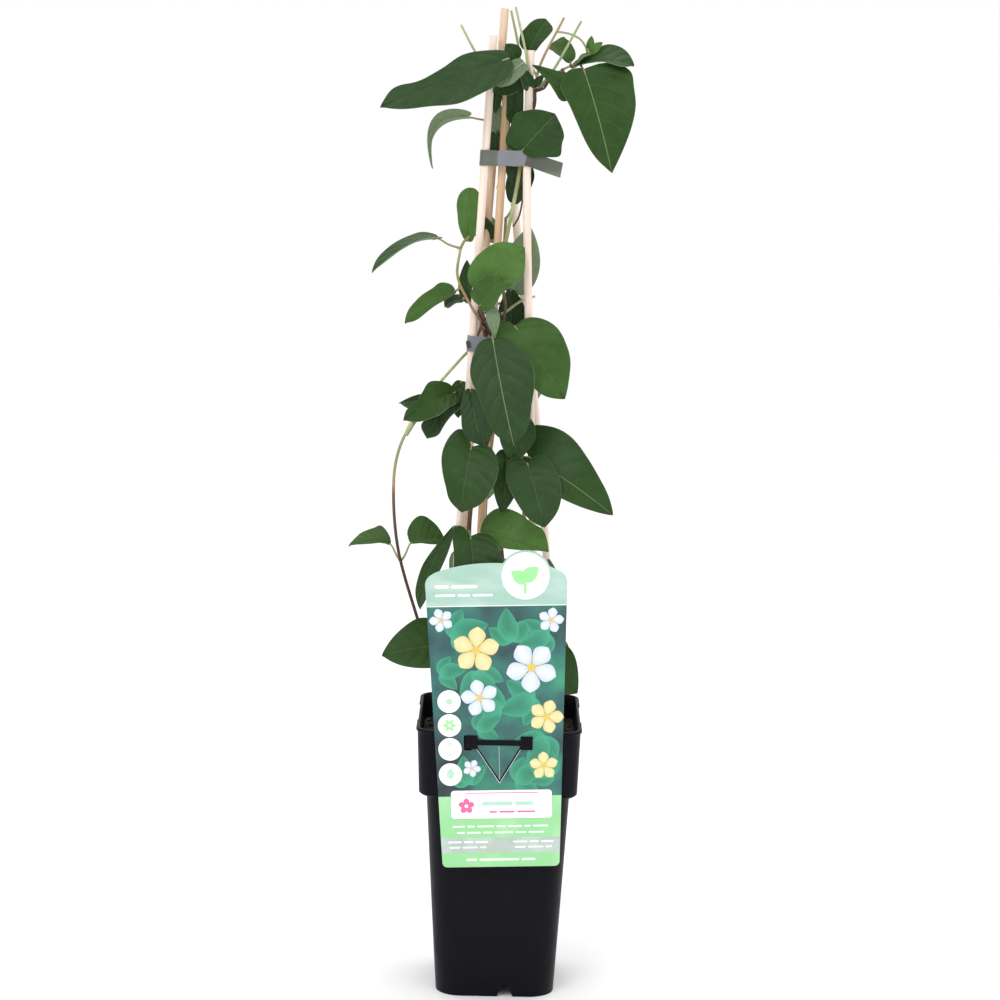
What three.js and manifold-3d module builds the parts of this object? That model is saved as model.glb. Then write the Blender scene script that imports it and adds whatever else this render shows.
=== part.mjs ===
// A honeysuckle vine trained up five canes in a tall square nursery pot, with its hanging label card.
// Millimetres, +Z up, the front faces -Y. The origin is the middle of the pot's foot, on the ground.
import * as THREE from "three";
import { mergeVertices } from "three/addons/utils/BufferGeometryUtils.js";
import Module from "manifold-3d";

const wasm = await Module();
wasm.setup();

// Driving dimensions

const clearance = 0.35; // between separate pieces that touch on the real plant

const pot = {
  height: 186,
  rimHalf: 53.6,
  collarHalf: 52.2,
  collarCorner: 11,
  collarZ: 140,
  bodyTopHalf: 47.6,
  footHalf: 39.6,
  bodyCorner: 17,
  wall: 1.5,
  lipDepth: 0.9,
  lipHeight: 2.6,
  lipEase: 0.7,
  lipGapHalf: 24, // half the stretch without a lip on the left and right sides
  stepRise: 1.5, // half the height over which the wall steps out into the collar
  floorUnder: 9,
  padRadius: 12,
  drainRadius: 3.5,
  drainAt: 24,
};

const notch = { x: 7, bottom: 11.4, top: 4.4, height: 8 }; // cut in the foot skirt, once on each side

// The bar on the front of the collar that the label card hangs from, held off the wall by two lugs
const bridge = {
  z: 179.5,
  half: 22,
  thick: 1.2,
  barHeight: 3.4,
  endLength: 8,
  endHeight: 9,
  lugLength: 3.2,
  lugHeight: 6,
};

const soil = { top: 171, bottom: 11, slump: 1.2, holeSides: 8 };

const card = {
  thick: 0.7,
  y: -56.2,
  tilt: THREE.MathUtils.degToRad(-2),
  topHalf: 46,
  bottomHalf: 38.5,
  shoulderZ: 106,
  bottomZ: -84,
  archRise: 8,
  corner: 4,
  bumpX: 19,
  bumpZ: 111.5,
  bumpRadius: 17,
  tongueHalf: 15.5,
  tongueTop: -1.5,
  tongueDepth: 24.5,
  slit: 0.8,
  lobeWidth: 4.8, // the cut widens here for the bridge's lugs
  lobeBottom: -2.7,
  lobeTop: 2.6,
};

const caneRadius = 2.6;
const caneSides = 10;
const caneSpacing = 90;
const canes = {
  cane_front_left: [[-12, -7, 634], [-36, -25, 171], [-39, -27.3, 112]],
  cane_back_left: [[-5, -1, 651], [-35.2, 23.4, 171], [-38.9, 26.4, 112]],
  cane_bamboo: [[-3, -3, 598], [-14, -8, 325], [-20.2, -10.8, 171], [-22, -11.6, 125]],
  cane_front_right: [[12, -10, 625], [11, -9, 553], [14, -15.6, 455], [18, -22, 358], [24, -28, 171],
    [26.3, -30, 112]],
  cane_back_right: [[-1, 9, 567], [5, 11, 512], [20, 18, 389], [30, 23.5, 286], [38, 27, 171], [40, 28, 120]],
};
const bambooNode = { heights: [537, 405, 262], swell: 0.5, length: 1.6 };

const tape = { thick: 0.6, loose: 0.5, corners: 12 };
const ties = {
  tie_upper: { bottom: 551, top: 561, tailHalf: 4.8, tail: [[11, -13.1, 556], [23, -18, 555], [36, -24, 550]] },
  tie_lower: { bottom: 431, top: 441, tailHalf: 2.4,
    tail: [[-22.5, -18.2, 436], [-25, -19.6, 435], [-28, -19.8, 433.5]] },
};

// Stations of a blade along its length, and facets across it. A leaf shorter than `under` takes the small one.
const blade = { thick: 0.7, basePower: 0.5, rows: [0.06, 0.2, 0.4, 0.63, 0.85], across: 4 };
const smallBlade = { under: 26, rows: [0.14, 0.45, 0.8], across: 2 };
const petiole = { from: 0.8, to: 0.56, sides: 4, spacing: 11, lowest: 176, sagAt: 0.55, sag: 0.08, into: 0.08 };
const stub = { from: 1.1, to: 0.8 };
const stemFacets = { sides: 5, spacing: 14 };

// A leaf runs from its base to its tip and turns its upper face to `face`. The arch lifts its middle,
// the cup lifts its edges, and the lobe draws its shoulders back past the petiole, whose route is `via`.
function leaf(base, tip, width, face, shape = {}) {
  const usual = { arch: 0.1, cup: 0.15, lobe: 0.04, wave: 0.03, widest: 0.36, via: [] };
  return { base, tip, width, face, ...usual, ...shape };
}

// A shoot is a tapered stem along its points, from radius `from` to radius `to`.
function shoot(points, from, to) {
  return { points, from, to };
}

const stems = {
  stem_left: {
    shoots: [
      shoot([[-30, -8, 150], [-32, -10, 171], [-42, -16, 210], [-55, -20, 252], [-67, -24, 293],
        [-71, -24, 318], [-72, -24, 346], [-70, -23, 362], [-64, -22, 376], [-44, -20, 408],
        [-34, -16, 418], [-21, -6, 427], [-19, -6, 440], [-17, -14, 446], [-17, -21, 451], [-21, -23, 457],
        [-26, -19, 465], [-31, -14, 474], [-33, -10, 482], [-31, -8, 497]], 1.8, 1.1),
      shoot([[-31, -8, 497], [-29, -4, 501], [-25, -1, 505]], 1, 0.8),
      shoot([[-64, -22, 376], [-56, -19, 388], [-46, -17, 399], [-36, -16, 406]], 1.1, 0.8),
    ],
    leaves: [
      leaf([-44, -10, 504], [-88, -26, 482], 26, [-0.2, -0.1, 1], { arch: 0.13 }),
      leaf([-25, -1, 502], [-24, 2, 536], 15, [-0.3, -1, 0.1], { wave: 0.08 }),
      leaf([-35, -13, 469], [-66, -30, 451], 24, [-0.2, -0.85, 0.5], { arch: 0.08 }),
      leaf([-29, -17, 465], [-41, -18, 460], 10, [0, -0.2, 1]),
      leaf([-49, -16, 401], [-71, -20, 398], 17, [0, -0.5, 0.9]),
      leaf([-37, -17, 406], [-68, -36, 388], 30, [-0.3, -0.9, 0.4], { arch: 0.12 }),
      leaf([-31, -16, 399], [-51, -24, 373], 20, [-0.6, -0.7, 0.1]),
      leaf([-34, -11, 407], [-34, -9, 390], 10, [-0.2, -1, 0.2]),
      leaf([-74, -16, 304], [-102, -26, 301], 24, [-0.1, -0.25, 1], { arch: 0.16 }),
      leaf([-63, -17, 306], [-40, -14, 309], 22, [0.2, -0.7, 0.7]),
      leaf([-42, -27, 243], [-78, -38, 229], 36, [-0.3, -0.85, 0.45], { arch: 0.08, cup: 0.05 }),
    ],
    stubs: [],
  },
  stem_centre: {
    shoots: [
      shoot([[-10, -14, 150], [-11, -15, 171], [-16, -22, 230], [-21, -25, 290], [-22, -27, 320],
        [-18, -29, 350], [-10, -29, 378], [-4, -24, 405], [-5, -13, 426], [-5, -13, 441], [-7, -17, 448],
        [-11, -23, 455], [-13, -26, 462], [-10, -22, 475], [-5, -16, 490], [-2, -13, 501], [1, -12, 517],
        [4, -9, 533], [6, -6, 545], [7, -4, 557], [9, -2, 575], [13, -2, 592], [18, -4, 606],
        [24, -6, 614]], 2, 1.1),
      shoot([[24, -6, 614], [34, -8, 619], [42, -9, 620]], 1, 0.8),
      shoot([[30, -8, 641], [35, -9, 638], [42, -10, 634], [48, -11, 628], [49, -12, 620], [42, -9, 620]],
        0.6, 0.6),
    ],
    leaves: [
      leaf([16, -2, 622], [22, 4, 645], 22, [0.1, -1, 0.3]),
      leaf([38, -4, 617], [25, 6, 629], 16, [0, -0.8, 0.6]),
      leaf([39, -10, 616], [78, -24, 617], 26, [0, -0.6, 0.8], { widest: 0.55 }),
      leaf([46, -20, 616], [64, -38, 549], 47, [0.15, -1, 0.15],
        { cup: 0.1, arch: 0.07, lobe: 0.08, widest: 0.33 }),
      leaf([16, -17, 617], [31, -26, 607], 14, [0.2, -0.2, 1]),
      leaf([41, -12, 617], [51, -16, 624], 10, [0, -0.3, 1]),
      leaf([50, -12, 624], [58, -13, 631], 6, [0, -1, 0.6]),
      leaf([49, -12, 626], [51, -11, 635], 5, [0.3, -1, 0.2]),
      leaf([-17, -30, 468], [11, -24, 500], 34, [0.1, -1, 0.2], { cup: 0.1, via: [[-17, -28, 462]] }),
      leaf([-16, -34, 459], [-2, -43, 481], 23, [0.1, -1, 0.35], { widest: 0.45 }),
      leaf([-11, -31, 462], [-8, -31, 440], 9, [0.6, -0.6, 0.1]),
      leaf([-8, -32, 441], [6, -50, 374], 42, [-0.15, -1, 0.2], { cup: 0.12, arch: 0.08 }),
      leaf([-14, -30, 410], [-15, -38, 371], 27, [-0.2, -1, 0.1]),
      leaf([-21, -37, 370], [-26, -52, 329], 37, [-0.1, -1, 0.25], { lobe: 0.17 }),
      leaf([-22, -41, 312], [-17, -50, 276], 31, [0.1, -1, 0.3], { lobe: 0.14 }),
      leaf([-34, -25, 316], [-56, -24, 261], 15, [-0.5, -0.8, 0.1], { arch: 0.14 }),
    ],
    stubs: [
      [[13, -2, 592], [16, 8, 618], [2, 8, 652]],
      [[18, -4, 606], [22, -6, 622], [33, -8, 646]],
      [[24, -6, 614], [32, -10, 624], [44, -12, 644]],
      [[-5, -16, 490], [8, -24, 466], [18, -27, 469]],
    ],
  },
  stem_top: {
    shoots: [
      shoot([[-6, 8, 150], [-7, 9, 171], [-12, 14, 250], [-12, 10, 330], [-6, 4, 400], [-5, 3, 436],
        [-3, 3, 500], [2, 1, 545], [2, 1, 561], [4, 0, 590], [3, -4, 604], [0, -10, 613], [-3, -14, 618]],
        2, 1),
    ],
    leaves: [
      leaf([-1, -21, 616], [-83, -40, 588], 46, [-0.2, -0.7, 0.75], { arch: 0.02, cup: 0.1, widest: 0.27 }),
      leaf([8, -17, 617], [-12, -23, 604], 20, [0.1, 0.7, -0.7]),
      leaf([2, -12, 606], [-11, -13, 596], 14, [0, -1, 0.3]),
      leaf([4, -8, 623], [-3, -10, 628], 10, [0, -1, 0.4]),
      leaf([4, -15, 580], [36, -24, 566], 34, [0.1, -1, 0.25], { cup: 0.1 }),
      leaf([-9, -6, 603], [-10, -3.2, 566], 6, [0.1, 1, 0.1], { cup: 0, wave: 0, arch: 0.03 }),
      leaf([-30, -14, 585], [-51, -26, 549], 22, [-0.4, -0.25, 0.9],
        { arch: 0.28, via: [[-2, -13, 600], [-16, -15, 586]] }),
      leaf([-10, 20, 345], [-16, 52, 318], 34, [-0.1, 0.5, 0.85]),
      leaf([-10, 30, 292], [-30, 56, 258], 34, [-0.3, 0.7, 0.6]),
    ],
    stubs: [
      [[3, -4, 604], [-14, -14, 618], [-33, -4, 641]],
      [[4, 0, 590], [4, 3, 615], [-1, 4, 650]],
    ],
  },
  stem_right: {
    shoots: [
      shoot([[14, -6, 150], [14, -7, 171], [10, -12, 220], [4, -18, 270], [-1, -24, 308], [4, -26, 345],
        [9, -28, 371], [7, -25, 398], [4, -13, 426], [4, -12, 441], [3, -17, 448]], 1.8, 1.1),
    ],
    leaves: [
      leaf([3, -25, 449], [38, -36, 402], 39, [0.15, -1, 0.2], { cup: 0.08 }),
      leaf([13, -36, 360], [26, -52, 319], 36, [0.1, -1, 0.25], { lobe: 0.08 }),
      leaf([20, -29, 365], [71, -44, 329], 50, [0.2, -1, 0.3], { lobe: 0.1 }),
      leaf([1, -30, 368], [-1, -34, 327], 20, [0.3, -1, 0.1]),
      leaf([8, -31, 392], [6, -33, 360], 24, [0.2, -1, 0.1]),
      leaf([-8, -27, 316], [30, -42, 306], 29, [0, -0.85, 0.5], { arch: 0.14 }),
      leaf([24, -33, 236], [52, -40, 210], 34, [0.3, -1, 0.3], { via: [[12, -25, 237], [18, -32, 237]] }),
      leaf([-4, -29, 300], [-8, -31, 286], 10, [0, -1, 0.3]),
    ],
    stubs: [],
  },
  stem_back: {
    shoots: [
      shoot([[6, 20, 150], [6, 22, 171], [12, 28, 250], [14, 30, 320], [6, 22, 390], [-1, 8, 424], [-1, 8, 441],
        [-3, 13, 480], [-2, 18, 515]], 1.7, 1),
    ],
    leaves: [
      leaf([5, 20, 523], [14, 22, 553], 24, [-0.2, 1, 0.3]),
      leaf([4, 1, 468], [14, -3, 512], 25, [0.12, -1, 0], { arch: 0.05 }),
      leaf([-8, 18, 500], [-16, 17, 520], 12, [-0.4, 1, 0.2]),
      leaf([2, 18, 446], [5, 20, 470], 14, [0.2, 1, 0.3]),
      leaf([-24, 16, 459], [-27, 12, 488], 13, [-0.3, -1, 0.2]),
      leaf([-10, 26, 398], [-26, 52, 372], 36, [-0.2, 0.8, 0.6]),
      leaf([8, 26, 408], [12, 52, 380], 30, [0.1, 0.7, 0.7]),
      leaf([12, 40, 284], [24, 62, 254], 36, [0.2, 0.8, 0.5]),
      leaf([2, 36, 258], [-26, 58, 228], 38, [-0.3, 0.8, 0.5]),
      leaf([20, 36, 232], [40, 54, 200], 36, [0.4, 0.8, 0.4]),
      leaf([38, 28, 284], [41, 10, 254], 18, [0.9, -0.2, 0.3], { via: [[20, 34, 290], [34, 32, 286]] }),
    ],
    stubs: [],
  },
};

const colours = {
  pot: 0x1b1c22,
  soil: 0x3a2c20,
  label_card: 0x8fcfae,
  cane: 0xe6c79a,
  bamboo: 0xc9a86a,
  tie: 0x7f8f86,
  stem: 0x3f6a32,
};

// Solids

function vector(list) {
  return new THREE.Vector3(...list);
}

function solidFrom(geometry) {
  const bare = new THREE.BufferGeometry();
  bare.setAttribute("position", geometry.getAttribute("position"));
  bare.setIndex(geometry.index);
  const merged = mergeVertices(bare, 1e-4);
  return new wasm.Manifold(
    new wasm.Mesh({
      numProp: 3,
      vertProperties: merged.attributes.position.array,
      triVerts: new Uint32Array(merged.index.array),
    }),
  );
}

function geometryFrom(solid) {
  const { vertProperties, triVerts } = solid.getMesh();
  const geometry = new THREE.BufferGeometry();
  geometry.setAttribute("position", new THREE.BufferAttribute(vertProperties, 3));
  geometry.setIndex(new THREE.BufferAttribute(triVerts, 1));
  const flat = geometry.toNonIndexed();
  flat.computeVertexNormals();
  return flat;
}

function meshGeometry(points, triangles) {
  const geometry = new THREE.BufferGeometry().setFromPoints(points);
  geometry.setIndex(triangles);
  return geometry;
}

// Joins rings of equal count into one closed skin, with a fan over the first and the last ring.
function loft(rings) {
  const count = rings[0].length;
  const points = rings.flat();
  const triangles = [];
  const middle = (ring) => ring.reduce((sum, p) => sum.add(p), new THREE.Vector3()).divideScalar(count);
  const first = points.push(middle(rings[0])) - 1;
  const last = points.push(middle(rings.at(-1))) - 1;
  const lastRing = (rings.length - 1) * count;
  for (let i = 0; i < count; i++) {
    const next = (i + 1) % count;
    triangles.push(first, next, i, last, lastRing + i, lastRing + next);
    for (let row = 0; row < lastRing; row += count) {
      triangles.push(row + i, row + next, row + count + next);
      triangles.push(row + i, row + count + next, row + count + i);
    }
  }
  return meshGeometry(points, triangles);
}

function roundedSquare(half, corner, z, steps = 4) {
  const ring = [];
  for (let side = 0; side < 4; side++) {
    for (let i = 0; i <= steps; i++) {
      const angle = ((side + i / steps) * Math.PI) / 2;
      const [sx, sy] = [[1, 1], [-1, 1], [-1, -1], [1, -1]][side];
      const x = sx * (half - corner) + corner * Math.cos(angle);
      const y = sy * (half - corner) + corner * Math.sin(angle);
      ring.push(new THREE.Vector3(x, y, z));
    }
  }
  return ring;
}

function circle(radius, z) {
  return roundedSquare(radius, radius - 0.01, z);
}

function smoothCurve(points) {
  return new THREE.CatmullRomCurve3(points.map(vector), false, "centripetal");
}

const fewestSteps = 3;

function stepsAlong(curve, spacing) {
  return Math.max(fewestSteps, Math.round(curve.getLength() / spacing));
}

// A tube along points, its radius given by a function of the share of its length.
function tube(points, radiusAt, sides, spacing) {
  const curve = smoothCurve(points);
  const steps = stepsAlong(curve, spacing);
  const frames = curve.computeFrenetFrames(steps, false);
  const rings = [];
  for (let i = 0; i <= steps; i++) {
    const centre = curve.getPointAt(i / steps);
    const ring = [];
    for (let k = 0; k < sides; k++) {
      const angle = (k / sides) * 2 * Math.PI;
      const radius = radiusAt(i / steps);
      const point = centre.clone();
      point.addScaledVector(frames.normals[i], radius * Math.cos(angle));
      point.addScaledVector(frames.binormals[i], radius * Math.sin(angle));
      ring.push(point);
    }
    rings.push(ring);
  }
  return loft(rings);
}

function extruded(shape, depth, steps = 8) {
  return new THREE.ExtrudeGeometry(shape, { depth, bevelEnabled: false, curveSegments: steps });
}

function boxSolid(x0, x1, y0, y1, z0, z1) {
  const geometry = new THREE.BoxGeometry(x1 - x0, y1 - y0, z1 - z0);
  geometry.translate((x0 + x1) / 2, (y0 + y1) / 2, (z0 + z1) / 2);
  return solidFrom(geometry);
}

// Pot

function bodyHalfAt(z) {
  return THREE.MathUtils.mapLinear(z, 0, pot.collarZ, pot.footHalf, pot.bodyTopHalf);
}

function notchGeometry() {
  const shape = new THREE.Shape();
  shape.moveTo(-notch.bottom / 2, -1);
  shape.lineTo(notch.bottom / 2, -1);
  shape.lineTo(notch.top / 2, notch.height);
  shape.lineTo(-notch.top / 2, notch.height);
  shape.closePath();
  const reach = 4 * pot.wall;
  const geometry = extruded(shape, reach);
  geometry.rotateX(Math.PI / 2);
  geometry.translate(notch.x, reach - pot.footHalf - 1, 0);
  return geometry;
}

function drainGeometry(z) {
  const geometry = new THREE.CylinderGeometry(pot.drainRadius, pot.drainRadius, 4 * pot.wall, 10);
  geometry.rotateX(Math.PI / 2);
  geometry.translate(pot.drainAt, pot.drainAt, z);
  return geometry;
}

function bridgeSolid() {
  const { z, half, thick, barHeight, endLength, endHeight, lugLength, lugHeight } = bridge;
  const back = card.y - card.thick - clearance;
  const inWall = -pot.collarHalf + pot.wall / 2;
  const slab = (x0, x1, y1, height) => boxSolid(x0, x1, back - thick, y1, z - height / 2, z + height / 2);
  return slab(-half, half, back, barHeight)
    .add(slab(-half, endLength - half, back, endHeight))
    .add(slab(half - endLength, half, back, endHeight))
    .add(slab(-half, lugLength - half, inWall, lugHeight))
    .add(slab(half - lugLength, half, inWall, lugHeight));
}

function makePot() {
  const lipZ = pot.height - pot.lipHeight;
  const under = bodyHalfAt(pot.floorUnder);
  const lipHalf = pot.rimHalf + pot.lipDepth;
  const floorTop = pot.floorUnder + pot.wall;
  const rings = [
    circle(pot.padRadius, 0),
    circle(pot.padRadius, pot.floorUnder),
    roundedSquare(under - pot.wall, pot.bodyCorner - pot.wall, pot.floorUnder),
    roundedSquare(pot.footHalf - pot.wall, pot.bodyCorner - pot.wall, 0),
    roundedSquare(pot.footHalf, pot.bodyCorner, 0),
    roundedSquare(pot.bodyTopHalf, pot.bodyCorner, pot.collarZ - pot.stepRise),
    roundedSquare(pot.collarHalf - pot.stepRise, pot.collarCorner, pot.collarZ),
    roundedSquare(pot.collarHalf, pot.collarCorner, pot.collarZ + pot.stepRise),
    roundedSquare(pot.rimHalf, pot.collarCorner, lipZ),
    roundedSquare(lipHalf, pot.collarCorner, lipZ + pot.lipEase),
    roundedSquare(lipHalf, pot.collarCorner, pot.height - pot.lipEase),
    roundedSquare(lipHalf - pot.lipEase, pot.collarCorner, pot.height),
    roundedSquare(pot.rimHalf - pot.wall, pot.collarCorner - pot.wall, pot.height),
    roundedSquare(pot.collarHalf - pot.wall, pot.collarCorner - pot.wall, pot.collarZ + 2 * pot.stepRise),
    roundedSquare(pot.bodyTopHalf - pot.wall, pot.bodyCorner - pot.wall, pot.collarZ),
    roundedSquare(bodyHalfAt(floorTop) - pot.wall, pot.bodyCorner - pot.wall, floorTop),
  ];
  let solid = solidFrom(loft(rings)).add(bridgeSolid());
  const [inside, outside] = [pot.rimHalf + 0.1, lipHalf + 1];
  for (const x of [-outside, inside]) {
    const gap = boxSolid(x, x + outside - inside, -pot.lipGapHalf, pot.lipGapHalf, lipZ - 0.5, pot.height + 1);
    solid = solid.subtract(gap);
  }
  for (let quarter = 0; quarter < 4; quarter++) {
    for (const cutter of [notchGeometry(), drainGeometry(floorTop)]) {
      cutter.rotateZ((quarter * Math.PI) / 2);
      solid = solid.subtract(solidFrom(cutter));
    }
  }
  return solid;
}

// Soil, with plain holes for the canes and stems

function soilHeight(x, y) {
  const ripple = Math.sin(x * 0.21 + 1) * Math.cos(y * 0.17) + 0.6 * Math.sin(x * 0.47 - y * 0.39 + 2);
  return soil.top + soil.slump * (ripple - 0.9);
}

function makeSoil() {
  const gap = pot.wall + clearance;
  const section = (z) => roundedSquare(bodyHalfAt(z) - gap, pot.bodyCorner - gap, z);
  const collarTop = THREE.MathUtils.mapLinear(soil.top, pot.collarZ, pot.height, pot.collarHalf, pot.rimHalf);
  const edge = roundedSquare(collarTop - gap - clearance, pot.collarCorner - gap, soil.top - 2 * soil.slump);
  const rings = [
    section(soil.bottom),
    section(pot.collarZ),
    roundedSquare(pot.collarHalf - gap - clearance, pot.collarCorner - gap, pot.collarZ + 3 * pot.stepRise),
    edge,
  ];
  for (const share of [0.96, 0.78, 0.55, 0.3]) {
    rings.push(edge.map(({ x, y }) => vector([x * share, y * share, soilHeight(x * share, y * share)])));
  }
  let solid = solidFrom(loft(rings));
  for (const points of Object.values(canes)) {
    const hole = tube(pastLowEnd(points, clearance), () => caneRadius + clearance, caneSides, caneSpacing);
    solid = solid.subtract(solidFrom(hole));
  }
  for (const { shoots: [main] } of Object.values(stems)) {
    const route = pastLowEnd(main.points.slice(0, 3), clearance);
    const hole = tube(route, () => main.from + clearance, soil.holeSides, stemFacets.spacing);
    solid = solid.subtract(solidFrom(hole));
  }
  return solid;
}

// The points with the lower end moved on along the line that it ends on.
function pastLowEnd(points, distance) {
  const route = points.map(vector);
  if (route[0].z > route.at(-1).z) route.reverse();
  const down = route[0].clone().sub(route[1]).normalize();
  route[0].addScaledVector(down, distance);
  return route.map((p) => p.toArray());
}

// Label card, drawn in its own plane round the middle of the bridge

function cardOutline() {
  const { topHalf, bottomHalf, shoulderZ, bottomZ, archRise, corner, bumpX, bumpZ, bumpRadius } = card;
  const archTop = shoulderZ + 6 + archRise;
  const shape = new THREE.Shape();
  shape.moveTo(-bottomHalf + corner, bottomZ);
  shape.lineTo(bottomHalf - corner, bottomZ);
  shape.quadraticCurveTo(bottomHalf, bottomZ, bottomHalf, bottomZ + corner);
  shape.lineTo(topHalf, shoulderZ);
  shape.quadraticCurveTo(topHalf - 0.5, shoulderZ + 5, topHalf - 6, shoulderZ + 8);
  const rightFoot = Math.asin(0.35);
  const leftFoot = Math.PI - Math.asin(0.5);
  shape.lineTo(bumpX + bumpRadius * Math.cos(rightFoot), bumpZ + bumpRadius * Math.sin(rightFoot));
  shape.absarc(bumpX, bumpZ, bumpRadius, rightFoot, leftFoot, false);
  shape.quadraticCurveTo(-20, archTop - 0.5, -topHalf + 10, shoulderZ + 8.5);
  shape.quadraticCurveTo(-topHalf + 1, shoulderZ + 6, -topHalf, shoulderZ);
  shape.closePath();
  return shape;
}

// A slit bar between two points of the card's plane, pushed through the card.
function slitSolid([x0, z0], [x1, z1], width) {
  const length = Math.hypot(x1 - x0, z1 - z0) + width;
  const geometry = new THREE.BoxGeometry(length, width, 4);
  geometry.rotateZ(Math.atan2(z1 - z0, x1 - x0));
  geometry.translate((x0 + x1) / 2, (z0 + z1) / 2, 0);
  return solidFrom(geometry);
}

function makeCard() {
  const { tongueHalf, tongueTop, tongueDepth, slit, lobeWidth, lobeBottom, lobeTop } = card;
  const apex = [0, tongueTop - tongueDepth];
  const lugMiddle = bridge.half - bridge.lugLength / 2;
  let solid = solidFrom(extruded(cardOutline(), card.thick, 10));
  for (const side of [-1, 1]) {
    const corner = [side * tongueHalf, tongueTop];
    const lug = side * lugMiddle;
    solid = solid
      .subtract(slitSolid(corner, apex, slit))
      .subtract(slitSolid(corner, [lug, tongueTop], slit))
      .subtract(slitSolid([lug, lobeBottom], [lug, lobeTop], lobeWidth));
  }
  const geometry = geometryFrom(solid);
  geometry.rotateX(Math.PI / 2);
  geometry.rotateY(card.tilt);
  geometry.translate(0, card.y, bridge.z);
  return solidFrom(geometry);
}

// Canes and their ties

function makeCane(name) {
  const nodes = name === "cane_bamboo" ? bambooNode.heights : [];
  const points = canes[name];
  let solid = solidFrom(tube(points, () => caneRadius, caneSides, caneSpacing));
  for (const z of nodes) {
    const centre = caneAt(points, z);
    const wide = caneRadius + bambooNode.swell;
    const swelling = new THREE.CylinderGeometry(caneRadius, wide, bambooNode.length, caneSides);
    swelling.rotateX(Math.PI / 2);
    swelling.translate(centre.x, centre.y, z);
    solid = solid.add(solidFrom(swelling));
  }
  return solid;
}

// Where the cane's axis crosses a height.
function caneAt(points, z) {
  const curve = smoothCurve(points);
  const stations = curve.getSpacedPoints(stepsAlong(curve, caneSpacing));
  const below = stations.findIndex((p) => p.z <= z);
  const [high, low] = [stations[below - 1], stations[below]];
  return high.clone().lerp(low, (high.z - z) / (high.z - low.z));
}

// Convex outline of points in the XY plane, counter-clockwise.
function convexHull(points) {
  const sorted = [...points].sort((a, b) => a.x - b.x || a.y - b.y);
  const turn = (o, a, b) => (a.x - o.x) * (b.y - o.y) - (a.y - o.y) * (b.x - o.x);
  const half = (list) => {
    const chain = [];
    for (const p of list) {
      while (chain.length > 1 && turn(chain.at(-2), chain.at(-1), p) <= 1e-6) chain.pop();
      chain.push(p);
    }
    return chain.slice(0, -1);
  };
  return [...half(sorted), ...half(sorted.reverse())];
}

function bandShape(centres, reach) {
  const rim = [];
  for (const centre of centres) {
    for (let i = 0; i < tape.corners; i++) {
      const angle = (i / tape.corners) * 2 * Math.PI;
      rim.push(new THREE.Vector2(centre.x + reach * Math.cos(angle), centre.y + reach * Math.sin(angle)));
    }
  }
  return convexHull(rim);
}

function makeTie(name) {
  const { bottom, top, tail, tailHalf } = ties[name];
  const heights = [bottom, (bottom + top) / 2, top];
  const centres = Object.values(canes).flatMap((points) => heights.map((z) => caneAt(points, z)));
  const shape = new THREE.Shape(bandShape(centres, caneRadius + tape.loose + tape.thick));
  shape.holes.push(new THREE.Path(bandShape(centres, caneRadius + tape.loose)));
  const band = extruded(shape, top - bottom);
  band.translate(0, 0, bottom);
  const route = smoothCurve(tail).getPoints(6);
  if (route[0].x > route.at(-1).x) route.reverse();
  const offsets = [[0, -tailHalf], [tape.thick, -tailHalf], [tape.thick, tailHalf], [0, tailHalf]];
  const rings = route.map((p) => offsets.map(([dy, dz]) => new THREE.Vector3(p.x, p.y + dy, p.z + dz)));
  return solidFrom(band).add(solidFrom(loft(rings)));
}

// Leafy stems

// Half the blade's width at a share u of its length, largest at `widest` and nothing at either end
function halfWidthAt(u, width, widest) {
  const tipPower = (blade.basePower * (1 - widest)) / widest;
  const shape = (u / widest) ** blade.basePower * ((1 - u) / (1 - widest)) ** tipPower;
  return (width / 2) * shape;
}

function bladeFrame({ base, tip, face, arch }) {
  const start = vector(base);
  const end = vector(tip);
  const chord = end.clone().sub(start);
  const along = chord.clone().normalize();
  const up = vector(face).addScaledVector(along, -vector(face).dot(along)).normalize();
  const control = start.clone().add(end).multiplyScalar(0.5).addScaledVector(up, 2 * arch * chord.length());
  const spine = new THREE.QuadraticBezierCurve3(start, control, end);
  return (u) => {
    const tangent = spine.getTangent(u);
    const normal = up.clone().addScaledVector(tangent, -up.dot(tangent)).normalize();
    const side = tangent.clone().cross(normal);
    return { centre: spine.getPoint(u), tangent, normal, side, length: chord.length() };
  };
}

function bladePoint(item, frameAt, u, v, offset) {
  const { centre, tangent, normal, side, length } = frameAt(u);
  const half = halfWidthAt(u, item.width, item.widest);
  const lift = item.cup * half * v * v + item.wave * item.width * Math.abs(v) * Math.sin(9 * u + 2 * v);
  const back = item.lobe * length * v * v * (1 - u) ** 3;
  const point = centre.clone().addScaledVector(side, half * v);
  return point.addScaledVector(normal, lift + offset).addScaledVector(tangent, -back);
}

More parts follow.
